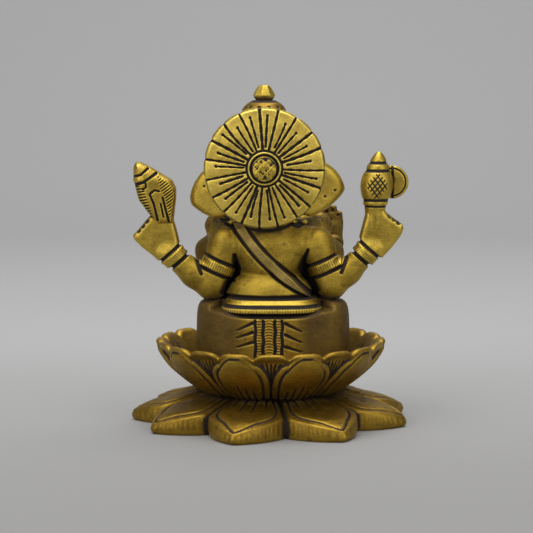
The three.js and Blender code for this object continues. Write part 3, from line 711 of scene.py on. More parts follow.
def dhoti_seat():
    low, high = box_mm("dhoti_seat")
    centre = (low + high) / 2
    half_x, half_y = (high[0] - low[0]) / 2, (high[1] - low[1]) / 2
    columns = 600
    turn = turns(columns)
    square = 2.9
    across, along = np.abs(np.cos(turn)) / half_x, np.abs(np.sin(turn)) / half_y
    outline = (across ** square + along ** square) ** (-1 / square)
    profile = resample([(0.02, 0), (0.55, -0.1), (0.84, -0.35), (0.94, -1.1), (0.985, -3.0), (0.998, -8),
                        (1.0, -14), (0.975, -21), (0.95, low[2] - high[2])], 118)
    share, drop = profile[:, :1], profile[:, 1:]
    r = share * outline
    x, y = centre[0] + r * np.cos(turn), centre[1] + r * np.sin(turn)
    front = np.clip(-np.sin(turn) * share, 0, 1)
    z = high[2] + drop - 6 * front ** 2 * ramp(-20, -2, drop) * np.ones(columns)
    belt_low, belt_high = box_mm("waist_belt")
    belt_middle, belt_half = (belt_low + belt_high) / 2, (belt_high - belt_low) / 2
    beside = np.clip(np.abs(x - belt_middle[0]) / belt_half[0], 0, 1)
    behind_belt = belt_middle[1] + (1 - 0.97 * beside ** 3.2) ** (1 / 3.2) * belt_half[1] - 2.0
    from_belt = np.abs(x - belt_middle[0]) - belt_half[0]
    ledge = z - 1.2 * ramp(-6, 1, from_belt)
    tucked = ramp(4.5, -2.0, from_belt) * ramp(BELT_FOOT_Z - 0.15, BELT_FOOT_Z + 0.75, ledge)
    y = y + tucked * (np.minimum(y, behind_belt) - y) * (y > belt_middle[1])
    behind = ramp(0.3, 0.7, np.sin(turn)) * ramp(0.9, 0.97, share)
    below_belt = 1 - ramp(32.0, 32.8, z)
    cut = np.zeros(x.shape)
    for pleat in PLEATS:
        from_pleat = x - pleat - 0.12 * np.sin(z * 1.3 + pleat)
        cut = np.maximum(cut, bump(from_pleat, 1.3) * below_belt * behind)
    for x0, z0, x1, z1 in FOLDS:
        taper = np.interp(np.abs(x), [5, 9.5], [1.3, 0.6])
        cut = np.maximum(cut, bump(near_path(x, z, [(x0, z0), (x1, z1)]), taper) * behind)
    # A groove under the belt's edge, painted dark as the belt's shadow on the cloth.
    belt_shadow_groove = bump(z - BELT_FOOT_Z - 1.5 * (x / 15) ** 4, 1.5)
    cut = np.maximum(cut, belt_shadow_groove * ramp(15.5, 13.0, np.abs(x)) * behind)
    outer_left, within, outer_right = ((x < PLEATS[k] - 0.4) & (x > PLEATS[k + 1] + 0.4) for k in range(3))
    strips = outer_left | outer_right
    arcs = np.sin((z + 0.22 * (x - 0.55) ** 2) * 2 * np.pi / 0.85)
    tucks = np.sin(z * 2 * np.pi / 0.8)
    ribs = (np.where(within, arcs, 0) + np.where(strips, tucks, 0)) * below_belt * behind
    points = np.stack([x, y, z], -1)
    sink = 0.55 * cut - 0.14 * ribs - 0.12 * hammered(points, 6.0, 7)
    way = np.stack([np.cos(turn), np.sin(turn)], -1)
    points[..., :2] -= (sink * ramp(0.7, 0.95, share))[..., None] * way
    dark = np.clip(cut + np.clip(-ribs - 0.2, 0, 1) * 0.5, 0, 1)
    seat = capped_piece("dhoti_seat", points, dark, cloth)
    # The film is left off the middle of the seat's back, so it is lighter there than at the sides.
    film_cleared = ramp(12, 5, np.abs(x)) * behind
    keep_attribute(seat.data, "film_cleared", np.append(film_cleared.ravel(), [0, 0]))


# ---------------------------------------------------------------- body: one skin, split at its carved borders

def rear_joints(side, word):
    elbow = spot(f"rear_forearm_{word}", -side, 0, -1, 4.1)
    wrist = spot(f"rear_forearm_{word}", side, 0, 1, 3.3)
    top = spot(f"rear_upper_arm_{word}", 0, 0, 1, 5.2)
    return np.array([elbow[0] - side * 4.0, top[1], top[2] - 0.8]), elbow, wrist


def front_joints(side, word):
    elbow = spot(f"front_upper_arm_{word}", side, -1, -1, 3.1)
    shoulder = np.array([side * 14.4 + 0.7, -3.6, spot(f"front_upper_arm_{word}", 0, 0, 1)[2] - 0.2])
    hand = spot(f"front_hand_{word}")
    if side == RIGHT:
        wrist = np.array([hand[0], spot(f"front_hand_{word}", 0, 0.4, 0)[1], hand[2] - 6.0])
    else:
        wrist = spot(f"front_forearm_{word}", -1, -1, -1, 2.3)
    return shoulder, elbow, wrist


REAR = {side: rear_joints(side, word) for side, word in SIDES}
FRONT = {side: front_joints(side, word) for side, word in SIDES}
SASH_PATH = resample([(12.5, 63.0), (9.1, 58.3), (6.4, 54.6), (2.4, 49.9), (-1.9, 45.9), (-6.6, 41.8),
                      (-12.5, 37.4)], 12)
SASH_HALF = 1.3
ARMLET_HALF, BRACELET_HALF = 1.95, 1.85  # from each ring's middle to its grooves
RING_GROOVE = 1.35  # width of those grooves
ARM_BLEND = 1.6


def sash_half(z):
    """The sash narrows to a point where it goes under the belt."""
    return np.interp(z, [38.2, 44, 60], [0.35, SASH_HALF, SASH_HALF])


def arm_rings(side):
    """Middle, direction along the arm, half width and radius of the armlet and the bracelet."""
    shoulder, elbow, wrist = REAR[side]
    tilt = np.radians(24)
    upper = shoulder + (elbow - shoulder) * 0.52
    lower = elbow + (wrist - elbow) * 0.97 + np.array([side * 0.5, 0, -0.1])
    across = np.radians(41)
    return ((upper, np.array([side * np.sin(tilt), 0, -np.cos(tilt)]), ARMLET_HALF, 5.2),
            (lower, np.array([side * np.sin(across), 0, np.cos(across)]), BRACELET_HALF, 3.8))


def trunk_of_body(p):
    upper = join(2.5, ball(p, (0, 2.4, 52.6), (12.0, 9.6, 8.0)), ball(p, (0, 2.2, 47.8), (9.8, 9.5, 7.0)),
                 limb(p, (-9.0, 2.6, 54.0), (9.0, 2.6, 54.0), 4.7, 4.7),
                 limb(p, (1.2, 1.5, 57), (1.9, 1, 64), 7.2, 6.0),
                 limb(p, (-12.0, -2.2, 57.2), (13.6, -2.2, 57.4), 4.1, 4.4))
    belly = ball(p, (0, -5.6, 45.2), (12.6, 12.8, 9.8))
    hips = ball(p, (0.4, 2.4, 38.6), (13.4, 11.4, 8.4))
    sides = [limb(p, (side * 10.8, -0.8, 50), (side * 13.2, -1.5, 38), 3.0, 3.4) for side, _ in SIDES]
    return join(0.9, smooth_min(upper, belly, 3.5), hips, *sides)


def limb_fields(p):
    """Each arm's stretches, by name."""
    fields = {}
    for side, word in SIDES:
        shoulder, elbow, wrist = REAR[side]
        fields[f"rear_upper_arm_{word}"] = limb(p, shoulder, elbow, 5.3, 4.2)
        swell = elbow * 0.55 + wrist * 0.45 + np.array([side * 0.25, 0, -0.3])
        fields[f"rear_forearm_{word}"] = chain(p, [(*elbow, 4.3), (*swell, 4.0), (*wrist, 3.35)], 1.5)
        shoulder, elbow, wrist = FRONT[side]
        shoulder = shoulder + (0, 0.6, 0)
        waist = (shoulder[0] + side * 0.7, shoulder[1] - 2.4, shoulder[2] - 3.6, 3.2)
        bend = (elbow[0] + side * 0.2, elbow[1], elbow[2] + 1.8, 3.5)
        fields[f"front_upper_arm_{word}"] = chain(p, [(*shoulder, 4.8), waist, bend, (*elbow, 3.5)], 1.0)
        fields[f"front_forearm_{word}"] = limb(p, elbow, wrist, 3.4, 2.8 if side == RIGHT else 2.4)
    return fields


def rings_of(p):
    """The grooves on each side of the armlets and bracelets."""
    cut = np.zeros(len(p))
    for side, _ in SIDES:
        for middle, way, half, radius in arm_rings(side):
            near = ramp(radius + 2.2, radius + 1.2, np.linalg.norm(p - middle, axis=-1))
            cut = np.maximum(cut, bump(np.abs((p - middle) @ way) - half, RING_GROOVE) * near)
    return cut


def crook_cuts(p):
    """The short fold inside each rear elbow."""
    x, y, z = p.T
    cut = np.zeros(len(p))
    for side, _ in SIDES:
        elbow = REAR[side][1]
        path = [(elbow[0] + side * 4.6, elbow[2] + 8.2), (elbow[0] + side * 3.0, elbow[2] + 3.8)]
        cut = np.maximum(cut, bump(near_path(x, z, path), 1.3) * (y > 4))
    return cut


def armpit_shade(p):
    """Deep slits behind the arms, cut a little in and painted dark down to the seat as painted shade."""
    x, y, z = p.T
    out = np.abs(x)
    # Painted shade on the filler seen through the gap between arm and waist.
    cut = 0.85 * ramp(6.5, 4.5, y) * ramp(-4.5, -1.5, y) * ramp(8.6, 9.6, out) * ramp(51, 49, z) * (out < 15)
    # The slits themselves: cut a little into the skin and painted dark as their shadow.
    for path in ([(10.7, 50.4), (10.4, 47.8), (9.9, 46.4), (12.0, 43.2), (14.2, 39.2)],
                 [(-10.9, 52.0), (-9.8, 49.2), (-8.8, 46.4), (-11.2, 43.6), (-13.6, 40.0)]):
        width = np.interp(z, [39, 45, 49, 52], [2.4, 3.4, 2.2, 1.0])
        cut = np.maximum(cut, bump(near_path(x, z, path), width) * (y > 2))
    return cut


def halo_shadow(p):
    """Painted shadow of the halo on the back: a dark band along the halo's lower edge, also cut a little into
    the skin, a darker patch at the nape and fainter painted shade around them.
    """
    middle, (low, high) = spot("halo_disc"), box_mm("halo_disc")
    x, y, z = (p - (middle[0], 0, middle[2])).T
    away = np.hypot(x, z) - (high[0] - low[0]) / 2
    behind = bump(away - 0.3, 3.0 + 0.5 * hammered(p, 4.0, 21)) * ramp(3, 6, y)
    nape = 0.8 * ramp(3.9, 2.6, away) * ramp(7, 5, y) * ramp(0.3, 1.3, y)
    shaded = 0.36 * ramp(11, 5, away) * ramp(3.4, 2.2, y) * ramp(-1.5, 0.3, y)
    return highest([behind, nape, shaded])


def with_arms(field, arms):
    """The trunk of the body with every stretch of arm grown onto it."""
    for arm in arms.values():
        field = smooth_min(field, arm, ARM_BLEND)
    return field


def body(p):
    """The figure's skin and how deep each point lies in a cut or under painted shade."""
    x, y, z = p.T
    arms = limb_fields(p)
    skin_field = with_arms(trunk_of_body(p), arms)
    width = 1.25 - 0.6 * ramp(0, -4, y) + 0.22 * hammered(p, 3.0, 20)
    beside = bump(near_path(x, z, SASH_PATH) - sash_half(z) - 0.5, width) * ((y > -2) | (z > 48))
    waist = bump(z - 38.3, 1.5) * (np.abs(x) < 14)
    # armpit_shade and halo_shadow are painted shade; the other marks are grooves.
    marks = highest([beside, rings_of(p), crook_cuts(p), armpit_shade(p), halo_shadow(p), waist])
    worked = 0.10 * hammered(p, 5.0, 9) + 0.04 * hammered(p, 2.0, 10)
    return skin_field + 0.75 * marks + worked, marks, arms


def torso():
    def field(p):
        whole, marks, arms = body(p)
        nearest = lowest(list(arms.values()))
        cell = (trunk_of_body(p) - nearest) * 0.5 - 0.6
        top, bottom = p[..., 2] - 66.0, 33.5 - p[..., 2]
        return highest([whole, cell, top, bottom]), marks
    skin("torso", field, skin_brass, 0.31)


def arm_piece(name, material):
    """One stretch of an arm, cut from the common skin where it is the nearest stretch."""
    def field(p):
        whole, marks, arms = body(p)
        own = arms.pop(name)
        others = np.minimum(lowest(list(arms.values())), trunk_of_body(p))
        cell = (own - others) * 0.5 - 0.3
        return np.maximum(whole + 0.03, cell), marks
    skin(name, field, material, 0.24, margin=3.0)


def ring_on_arm(name, ring, stretches, material, lift):
    """A band round one or two stretches of an arm, rounded over, with a clear edge on each side."""
    middle, way, half, reach = ring

    def field(p):
        limbs = limb_fields(p)
        wrapped = join(ARM_BLEND, *(limbs[stretch] for stretch in stretches))
        away = slab(p, middle, way, half - 0.55)
        around = np.linalg.norm(p - middle, axis=-1) - reach - 1.6
        outward = np.abs(p[..., 0]) - np.abs(middle[0]) - reach
        band = smooth_max(smooth_max(wrapped - lift, away, 0.5), outward, 0.8)
        return np.maximum(band, around), ramp(-0.25, 0.1, away) * 0.8
    skin(name, field, material, 0.2)


def arms():
    for side, word in SIDES:
        for part in ("rear_upper_arm", "rear_forearm", "front_upper_arm", "front_forearm"):
            arm_piece(f"{part}_{word}", shaded_dull if part.startswith("front") else skin_brass)
        armlet, bracelet = arm_rings(side)
        _, elbow, wrist = FRONT[side]
        front_ring = (elbow + (wrist - elbow) * 0.9, wrist - elbow, 1.4, 3.4)
        forearm = f"rear_forearm_{word}"
        ring_on_arm(f"armlet_{word}", armlet, (f"rear_upper_arm_{word}", forearm), armlet_brass[side], 0.25)
        ring_on_arm(f"bracelet_{word}", bracelet, (forearm,), bracelet_brass[side], 0.45)
        ring_on_arm(f"front_bracelet_{word}", front_ring, (f"front_forearm_{word}",), shaded_dull, 0.3)


def around_belt(x, y):
    """1 on the belt's widest outline, seen from above: rounder at the belly, squarer behind."""
    low, high = box_mm("waist_belt")
    centre, half = (low + high) / 2, (high - low) / 2
    power = 2.8 + 0.5 * np.tanh((y - centre[1]) / 3)
    u, v = np.abs(x - centre[0]) / half[0] + 1e-6, np.abs(y - centre[1]) / half[1] + 1e-6
    return (u ** power + v ** power) ** (1 / power)


def waist_belt():
    centre = spot("waist_belt")

    def field(p):
        x, y, z = (p - centre).T
        outward = (around_belt(p[..., 0], p[..., 1]) - 1.02) * 15 + np.clip(z + 0.6, 0, 3)
        wall = np.maximum(outward, -outward - 5.0)
        line = bump(z + 0.35, 1.45)
        beads = np.sin(np.arctan2(y, x) * 130) * ramp(-0.7, -1.2, z)
        edge = np.maximum(z - 1.7, -z - 2.3)
        marks = np.clip(line + ramp(-0.45, 0.0, edge) * 0.9 + np.clip(-beads - 0.2, 0, 1) * 0.5, 0, 1)
        return smooth_max(wall, edge, 0.5) + 0.6 * line - 0.12 * beads + 0.06 * hammered(p, 3, 12), marks
    skin("waist_belt", field, bright, 0.25)


def belt_clasp():
    at = spot("belt_clasp")

    def field(p):
        x, _, z = (p - at).T
        shell = ball(p, at, (3.4, 1.7, 2.6))
        around = np.hypot(x, z * 1.3)
        cut = np.maximum(bump(around - 2.2, 0.6), bump(around - 0.9, 0.4))
        rays = bump(np.sin(np.arctan2(z, x) * 8), 0.8) * (around > 1.1) * (around < 2.0)
        marks = np.maximum(cut, rays * 0.8)
        return shell + 0.25 * marks, marks
    skin("belt_clasp", field, bright, 0.16)


def sash():
    def field(p):
        x, y, z = p.T
        around = with_arms(trunk_of_body(p), limb_fields(p))
        smoothed = smooth_min(around, ball(p, (-5.4, 2.0, 44.0), (9.6, 10.6, 9.0)), 2.0)
        around = np.where(y > 2, smoothed, around)
        across = near_path(x, z, SASH_PATH) - sash_half(z)
        shell = np.maximum(around - 0.22, -around - 1.4)
        ends = np.maximum(37.6 - z, z - 60.2)
        return np.maximum(smooth_max(shell, across, 0.35), ends), ramp(-0.25, 0.05, across) * 0.9
    skin("sash", field, sash_brass, 0.22)


# ---------------------------------------------------------------- hands and what they hold

HAND_OUTLINES = {  # outwards and up from the wrist
    LEFT: [(-3.4, 1.6), (-1.6, 4.4), (-0.9, 7.5), (0.0, 10.6), (2.6, 12.2), (6.8, 12.3), (8.2, 11.0),
           (9.9, 9.0), (11.4, 7.2), (12.1, 6.2), (11.7, 5.2), (9.8, 3.2), (5.8, 0.1), (3.4, -1.8)],
    RIGHT: [(-3.0, 1.4), (-2.0, 4.3), (-1.2, 7.4), (0.0, 12.2), (2.6, 13.6), (5.4, 13.2), (6.2, 11.8),
            (8.1, 10.4), (9.7, 9.6), (10.8, 8.6), (11.1, 7.3), (10.4, 5.4), (7.8, 1.9), (4.5, -1.8)],
}
KNUCKLES = {LEFT: ((6.9, 12.2), (11.8, 6.6)), RIGHT: ((6.0, 12.2), (10.9, 8.4))}


def rear_hand(side, word):
    """A flat, half-closed hand, seen from its back, with the knuckles as a stepped edge."""
    _, elbow, wrist = REAR[side]
    name = f"rear_hand_{word}"
    depth = spot(name)[1] + 0.9
    outline = np.array([(wrist[0] + side * u, wrist[2] + v) for u, v in HAND_OUTLINES[side]])
    first, last = (np.array([wrist[0] + side * u, wrist[2] + v]) for u, v in KNUCKLES[side])
    inward = np.array([(last - first)[1], -(last - first)[0]]) * side
    inward = inward / np.linalg.norm(inward)
    fingers = []
    for k in range(4):
        knuckle = first + (last - first) * (0.06 + 0.88 * (k + 0.5) / 4)
        root, tip = knuckle + inward * 1.6, knuckle + inward * 4.4
        fingers.append([(root[0], depth - 1.6, root[1], 1.5), (root[0], depth - 4.0, root[1], 1.4),
                        (tip[0], depth - 4.8, tip[1], 1.15)])
    thumb = outline[1] * 0.5 + outline[2] * 0.5 + np.array([side * 1.8, 0])
    thumb_root = (thumb[0], depth - 2.4, thumb[1])
    thumb_tip = (thumb[0] + side * 2.6, depth - 4.8, thumb[1] + 1.2)
    middle, way, half, _ = arm_rings(side)[1]

    def field(p):
        x, y, z = (p - (0, depth, 0)).T
        palm = smooth_max(outline_field(x, z, outline), np.abs(y) - 3.0, 1.8)
        palm = smooth_min(palm, limb(p, elbow, wrist + (wrist - elbow) * 0.12, 3.6, 3.5), 1.5)
        for finger in fingers:
            palm = smooth_min(palm, chain(p, finger, 0.5), 0.3)
        palm = smooth_min(palm, limb(p, thumb_root, thumb_tip, 1.5, 1.2), 0.4)
        along = (p - middle) @ way
        marks = bump(along - half, RING_GROOVE)
        for k in (1, 2, 3):
            notch = first + (last - first) * k / 4
            step = bump(np.hypot(x - notch[0], z - notch[1]), 2.3) * ramp(-2.2, -0.6, y)
            marks = np.maximum(marks, step)
        return np.maximum(palm + 0.65 * marks + 0.07 * hammered(p, 3.0, 14 + side), 0.4 - along), marks
    skin(name, field, bright, 0.22, margin=3.5)


CONCH_OUTLINE = [(8.3, 15.8), (8.0, 17.0), (7.3, 17.5), (6.2, 17.4), (4.6, 16.7), (1.7, 15.1), (-1.0, 13.3),
                 (-3.0, 11.9), (-4.1, 9.9), (-4.4, 7.7), (-3.9, 4.3),
                 (-3.4, -0.6), (1.2, -0.8), (4.0, 2.4), (6.8, 6.3), (7.9, 10.4), (8.3, 13.0)]


def conch_shell():
    foot = spot("conch_shell", 0, 0, -1)
    origin = np.array([foot[0] - 3.6, foot[1], foot[2] + 0.9])

    def field(p):
        u, y, v = (p - origin).T
        outline = outline_field(u, v, np.array(CONCH_OUTLINE))
        shell = smooth_max(outline, np.abs(y) - 4.3, 3.6)
        spiral = near_path(u, v, [(8.4, 13.3), (6.0, 13.9), (4.0, 15.6)])
        second = near_path(u, v, [(8.2, 10.9), (5.2, 11.7), (1.6, 14.2)])
        channel = np.minimum(near_path(u, v, [(0.7, 9.1), (2.0, 9.4), (3.4, 8.2), (2.2, 5.3), (1.1, 0.6)]),
                             near_path(u, v, [(-0.4, 7.2), (-1.4, 3.1), (-2.3, -0.4)]))
        short = near_path(u, v, [(0.2, 5.4), (-0.6, 1.6)])
        swirl = near_path(u, v, [(4.6, 11.4), (4.5, 10.2), (5.4, 9.6)])
        lines = highest([bump(spiral, 0.95), bump(second, 1.2), bump(channel, 0.95),
                                   bump(short, 0.8), bump(swirl, 0.8)])
        from_outer = u - np.interp(v, [0, 5, 8.5, 11], [1.6, 2.9, 4.2, 4.6])
        from_inner = np.interp(v, [-1, 3, 7, 10, 14], [-2.2, -1.5, -0.6, 1.0, 1.6]) - u
        outer = ramp(0.4, 0.9, from_outer) * (v < 10.6)
        inner = ramp(0.3, 0.8, from_inner) * (v < 13.4) * ramp(-0.7, -1.3, outline)
        ladder = bump(((v + 0.16 * u) / 0.86) % 1 - 0.5, 0.62) * outer
        rungs = bump(((v + 0.75 * u) / 0.95) % 1 - 0.5, 0.60) * inner
        marks = np.maximum(lines, 0.85 * np.maximum(ladder, rungs)) * ramp(0.2, 1.6, np.abs(y))
        swell = 0.35 * np.exp(-((v - 12.2) / 0.9) ** 2)
        return shell - swell * 0.5 + 0.45 * marks + 0.05 * hammered(p, 2.5, 16), marks
    skin("conch_shell", field, bright, 0.19, margin=1.6)


def axe_haft():
    low, middle = box_mm("axe_haft")[0], spot("axe_haft")
    profile = [(POLE, 0), (2.6, 0.3), (2.85, 3.0), (2.9, 5.6), (3.1, 6.7), (3.6, 7.9), (3.75, 8.8),
               (4.0, 9.6), (4.6, 11.2), (4.85, 13.4), (4.6, 15.6), (4.0, 17.1), (3.5, 17.9), (3.4, 18.6),
               (3.05, 19.6), (2.6, 20.2), (2.3, 21.0), (1.6, 22.2), (0.6, 23.3), (POLE, 23.4)]
    rows, columns = 120, 150
    line = resample(profile, rows, 1)
    turn = turns(columns)
    r = np.repeat(line[:, :1], columns, 1)
    up = np.repeat(line[:, 1:], columns, 1)
    u, v = -r * np.cos(turn), up - 13.4
    behind = np.sin(turn) > 0.1
    inside = (np.abs(u) + 0.85 * np.abs(v) < 3.6) & behind
    grid = [bump(((u + lean * v) / 1.5 % 1 - 0.5) * 1.5, 0.62) for lean in (0.8, -0.8)]
    grid = np.maximum(*grid) * inside
    rings = highest([bump(up - at, 1.2) for at in (9.15, 17.8, 20.1)] + [bump(up - 7.3, 0.9)])
    cut = np.maximum(grid * 0.9, rings)
    r = np.maximum(r - 0.28 * cut, 0.03)
    tilt = -0.06
    x = middle[0] + 0.75 + tilt * (up - 12) - r * np.cos(turn)
    points = np.stack([x, middle[1] + r * np.sin(turn), low[2] + up], -1)
    points += 0.04 * hammered(points, 2.5, 17)[..., None]
    capped_piece("axe_haft", points, cut, bright)


def axe_blade():
    low, high = box_mm("axe_blade")
    radius = (high[2] - low[2]) / 2
    centre = np.array([low[0] + radius, *((low + high) / 2)[1:]])

    def field(p):
        x, y, z = (p - centre).T
        around = np.hypot(x, z)
        cut = np.maximum(bump(around - 4.05, 0.7), bump(x + 0.1, 0.9) * (y > 0))
        thick = 1.15 - 0.35 * ramp(3.8, radius, around)
        disc = smooth_max(around - radius, np.abs(y) - thick, 0.5)
        return disc + 0.4 * cut + 0.05 * hammered(p, 2.0, 18), cut
    skin("axe_blade", field, bright, 0.17, margin=1.5)


def front_hand_right():
    """Raised in blessing, palm to the front, with pits cut in its back."""
    low, high = box_mm("front_hand_right")
    middle, y, foot = (low[0] + high[0]) / 2 + 0.8, (low[1] + high[1]) / 2, low[2]
    wrist = FRONT[RIGHT][2]

    def field(p):
        palm = ball(p, (middle, y, foot + 3.6), (3.6, 1.9, 4.8))
        palm = smooth_min(palm, limb(p, wrist, (middle - 0.4, y, foot + 2), 2.8, 2.8), 1.2)
        for k, reach in enumerate((6.6, 8.4, 9.0, 8.2)):
            x = middle - 2.55 + 1.7 * k
            finger = limb(p, (x, y, foot + 4), (x, y + 0.3, foot + reach), 1.05, 0.85)
            palm = smooth_min(palm, finger, 0.25)
        thumb = limb(p, (middle + 2.2, y - 0.9, foot + 2.5), (middle + 3.4, y - 1.5, foot + 6.0), 1.0, 0.75)
        palm = smooth_min(palm, thumb, 0.4)
        u, behind, v = (p - (middle, y, foot)).T
        marks = bump(np.hypot(u, v - 3.4), 1.0) * (behind < 0)
        for pit_u, pit_v in ((-1.9, 6.3), (-0.3, 7.6), (1.4, 7.2), (0.2, 4.9)):
            marks = np.maximum(marks, bump(np.hypot(u - pit_u, v - pit_v), 1.2) * (behind > 0))
        return palm + 0.3 * marks, marks
    skin("front_hand_right", field, shaded_dull, 0.17, margin=2.0)


def front_hand_left():
    """Held flat under the bowl of sweets."""
    bowl, wrist = spot("sweet_bowl"), FRONT[LEFT][2]
    middle = np.array([bowl[0], bowl[1], box_mm("front_hand_left")[0][2] + 1.5])

    def field(p):
        palm = ball(p, middle + (0.4, 0, 0), (4.2, 3.6, 1.7))
        palm = smooth_min(palm, limb(p, wrist, middle + (1.5, 0.8, 0.2), 2.3, 1.9), 1.2)
        for k in range(4):
            root = middle + (-1.5, -2.4 + 1.5 * k, 0)
            palm = smooth_min(palm, limb(p, root, root + (-2.7, 0, 1.6), 0.85, 0.7), 0.2)
        return palm, np.zeros(len(p))
    skin("front_hand_left", field, bright, 0.18, margin=2.5)


def hands():
    for side, word in SIDES:
        rear_hand(side, word)
    front_hand_right()
    front_hand_left()


def sweet_bowl():
    def flutes(up, turn, r):
        outside = np.arange(len(up))[:, None] < 40
        flute = bump(np.sin(turn * 8), 0.9) * ramp(0.3, 1.0, up) * ramp(3.0, 2.4, up)
        return np.maximum(flute, bump(up - 2.95, 0.5)) * outside
    spun("sweet_bowl", [(POLE, 0), (2.2, 0), (2.5, 0.3), (3.6, 1.2), (4.5, 2.4), (4.8, 3.2), (4.55, 3.45),
                        (4.2, 3.2), (3.4, 2.4), (POLE, 2.2)],
         bright, flutes, columns=160, rows=70, sink=0.2, worked=0)


FIFTHS = np.arange(5) * 1.2566  # of a turn, in radians


def sweets():
    low, centre = box_mm("sweets")[0], spot("sweets")
    foot = np.array([centre[0], centre[1], low[2]])
    heap = [foot + (1.7 * np.cos(a), 1.7 * np.sin(a), 0.7) for a in FIFTHS]
    heap.append(foot + (0, 0, 1.7))

    def field(p):
        balls = [ball(p, at, (1.25, 1.25, 1.15)) for at in heap]
        return join(0.25, *balls, ball(p, foot + (0, 0, 0.3), (2.4, 2.4, 0.8))), np.zeros(len(p))
    skin("sweets", field, bright, 0.18, margin=1.2)


# ---------------------------------------------------------------- head

EARS = {
    LEFT: [(9.5, 76.0), (14.0, 78.6), (19.8, 75.2), (22.6, 71.6), (24.0, 67.8), (23.9, 65.8),
           (23.5, 64.6), (22.4, 63.8), (19.6, 61.9), (16.0, 60.6), (10.0, 63.0)],
    RIGHT: [(-6.0, 76.0), (-10.5, 79.2), (-16.4, 77.4), (-19.8, 74.5), (-21.6, 71.0), (-22.1, 68.9),
            (-18.6, 65.1), (-15.0, 62.6), (-10.5, 61.2), (-6.5, 64.0)],
}
EAR_PITS = {LEFT: [(19.6, 70.4)], RIGHT: [(-15.9, 67.4), (-18.9, 69.2)]}  # casting holes on the backs
TUSKS = {
    "left": [(5.6, -11.0, 65.2, 1.35), (6.6, -13.8, 63.6, 1.2), (7.3, -16.2, 61.8, 0.9),
             (7.6, -17.6, 60.6, 0.35)],
    "right": [(-1.8, -11.0, 65.2, 1.35), (-2.6, -13.4, 63.8, 1.2), (-3.0, -15.0, 62.8, 1.0)],  # broken short
}
TRUNK = [(0, -9.4, 68.6, 4.8), (0, -13.8, 65.6, 4.3), (0.1, -17.6, 61.4, 3.8), (0.5, -20.2, 56.8, 3.3),
         (1.8, -21.6, 53.2, 2.8), (4.4, -22.2, 51.6, 2.4), (7.4, -22.4, 52.2, 2.0), (8.4, -22.3, 53.0, 1.7)]
FACE_Y = -12.0  # the trunk is split from the head here


def tube(p, joints, count=48):
    """Distance to a bent tube through [x, y, z, radius] joints, and how far along it each point is."""
    line = resample(joints, count)
    best, along = np.full(p.shape[:-1], 1e6), np.zeros(p.shape[:-1])
    run = np.concatenate([[0], np.cumsum(np.linalg.norm(np.diff(line[:, :3], axis=0), axis=1))])
    for i, (a, b) in enumerate(zip(line, line[1:])):
        way = b[:3] - a[:3]
        t = np.clip((p - a[:3]) @ way / (way @ way + 1e-9), 0, 1)
        near = np.linalg.norm(p - a[:3] - t[..., None] * way, axis=-1) - (a[3] + (b[3] - a[3]) * t)
        along = np.where(near < best, run[i] + (run[i + 1] - run[i]) * t, along)
        best = np.minimum(best, near)
    return best, along


def face(p):
    """Head and trunk as one, and how deep each point lies in a cut."""
    middle = spot("head")[0]
    x, y, z = (p - (middle, 0, 0)).T
    out = np.abs(x)
    q = np.stack([out, y, z], -1)
    skull = [ball(q, (0, -0.5, 69.6), (9.2, 9.6, 9.0)), ball(q, (3.5, -5.2, 75.2), (4.4, 5.2, 4.2))]
    cheek = ball(q, (5.2, -6.4, 66.2), (4.0, 5.2, 4.6))
    brow_ridge = limb(q, (2.4, -10.4, 70.9), (6.6, -7.4, 70.7), 1.6, 1.2)
    jaw = ball(q, (0, -8.4, 62.6), (3.6, 4.2, 2.2))
    tusk_root = limb(q, (3.3, -8.6, 65.6), (4.6, -12.6, 64.2), 1.8, 1.6)
    trunk, along = tube(p, [(middle + out_x, *rest) for out_x, *rest in TRUNK])
    whole = smooth_min(join(1.6, *skull, cheek, brow_ridge, jaw, tusk_root), trunk, 1.8)
    whole = whole + 0.07 * hammered(p, 3.5, 30)

    rings = bump(((along / 1.5) % 1 - 0.5) * 1.5, 0.7) * ramp(5.0, 6.5, along) * (y < -12.5)
    rings = rings * ramp(23.5, 22.5, along)
    brow = bump(near_path(out, z, [(2.2, 70.2), (4.2, 71.4), (6.6, 70.6), (7.8, 69.0)]), 0.7)
    upper = bump(near_path(out, z, [(2.9, 68.0), (3.8, 69.1), (5.1, 69.3), (6.6, 68.2)]), 0.7)
    lower = bump(near_path(out, z, [(2.9, 68.0), (4.0, 67.3), (5.3, 67.2), (6.6, 68.2)]), 0.5)
    iris = bump(np.hypot(out - 4.7, z - 68.3), 1.0)
    eye = highest([upper, lower, iris, brow * 0.8]) * (y < -4)
    stripes = [bump(near_path(x, z, [(-2.2, at), (0, at - 0.3), (2.2, at)]), 0.5)
               for at in (73.2, 74.3, 75.4)]
    lips = bump(near_path(out, z, [(0, 62.0), (2.4, 62.3), (4.4, 63.6)]), 0.8) * (y < -8)
    marks = highest([rings, eye, highest(stripes) * (y < -6), lips])
    socket = 0.5 * np.exp(-((out - 4.8) ** 2 + (z - 68.2) ** 2) / 3.2) * (y < -4)
    lid = ball(q, (4.8, -9.0, 68.2), (2.0, 1.2, 1.3))
    return smooth_min(whole + socket, lid, 0.3) + 0.4 * marks, marks


def head():
    def skull(p):
        whole, marks = face(p)
        return np.maximum(np.maximum(whole, FACE_Y - p[..., 1]), 60.6 - p[..., 2]), marks
    skin("head", skull, bright, 0.24, margin=2.5)

    def trunk(p):
        whole, marks = face(p)
        return np.maximum(whole + 0.03, p[..., 1] - FACE_Y - 0.4), marks
    skin("trunk", trunk, bright, 0.22, margin=2.5)

    for word, joints in TUSKS.items():
        def tusk(p):
            distance, along = tube(p, joints, 16)
            return distance, bump(along - 1.2, 0.7)
        skin(f"tusk_{word}", tusk, bright, 0.16, margin=1.5)


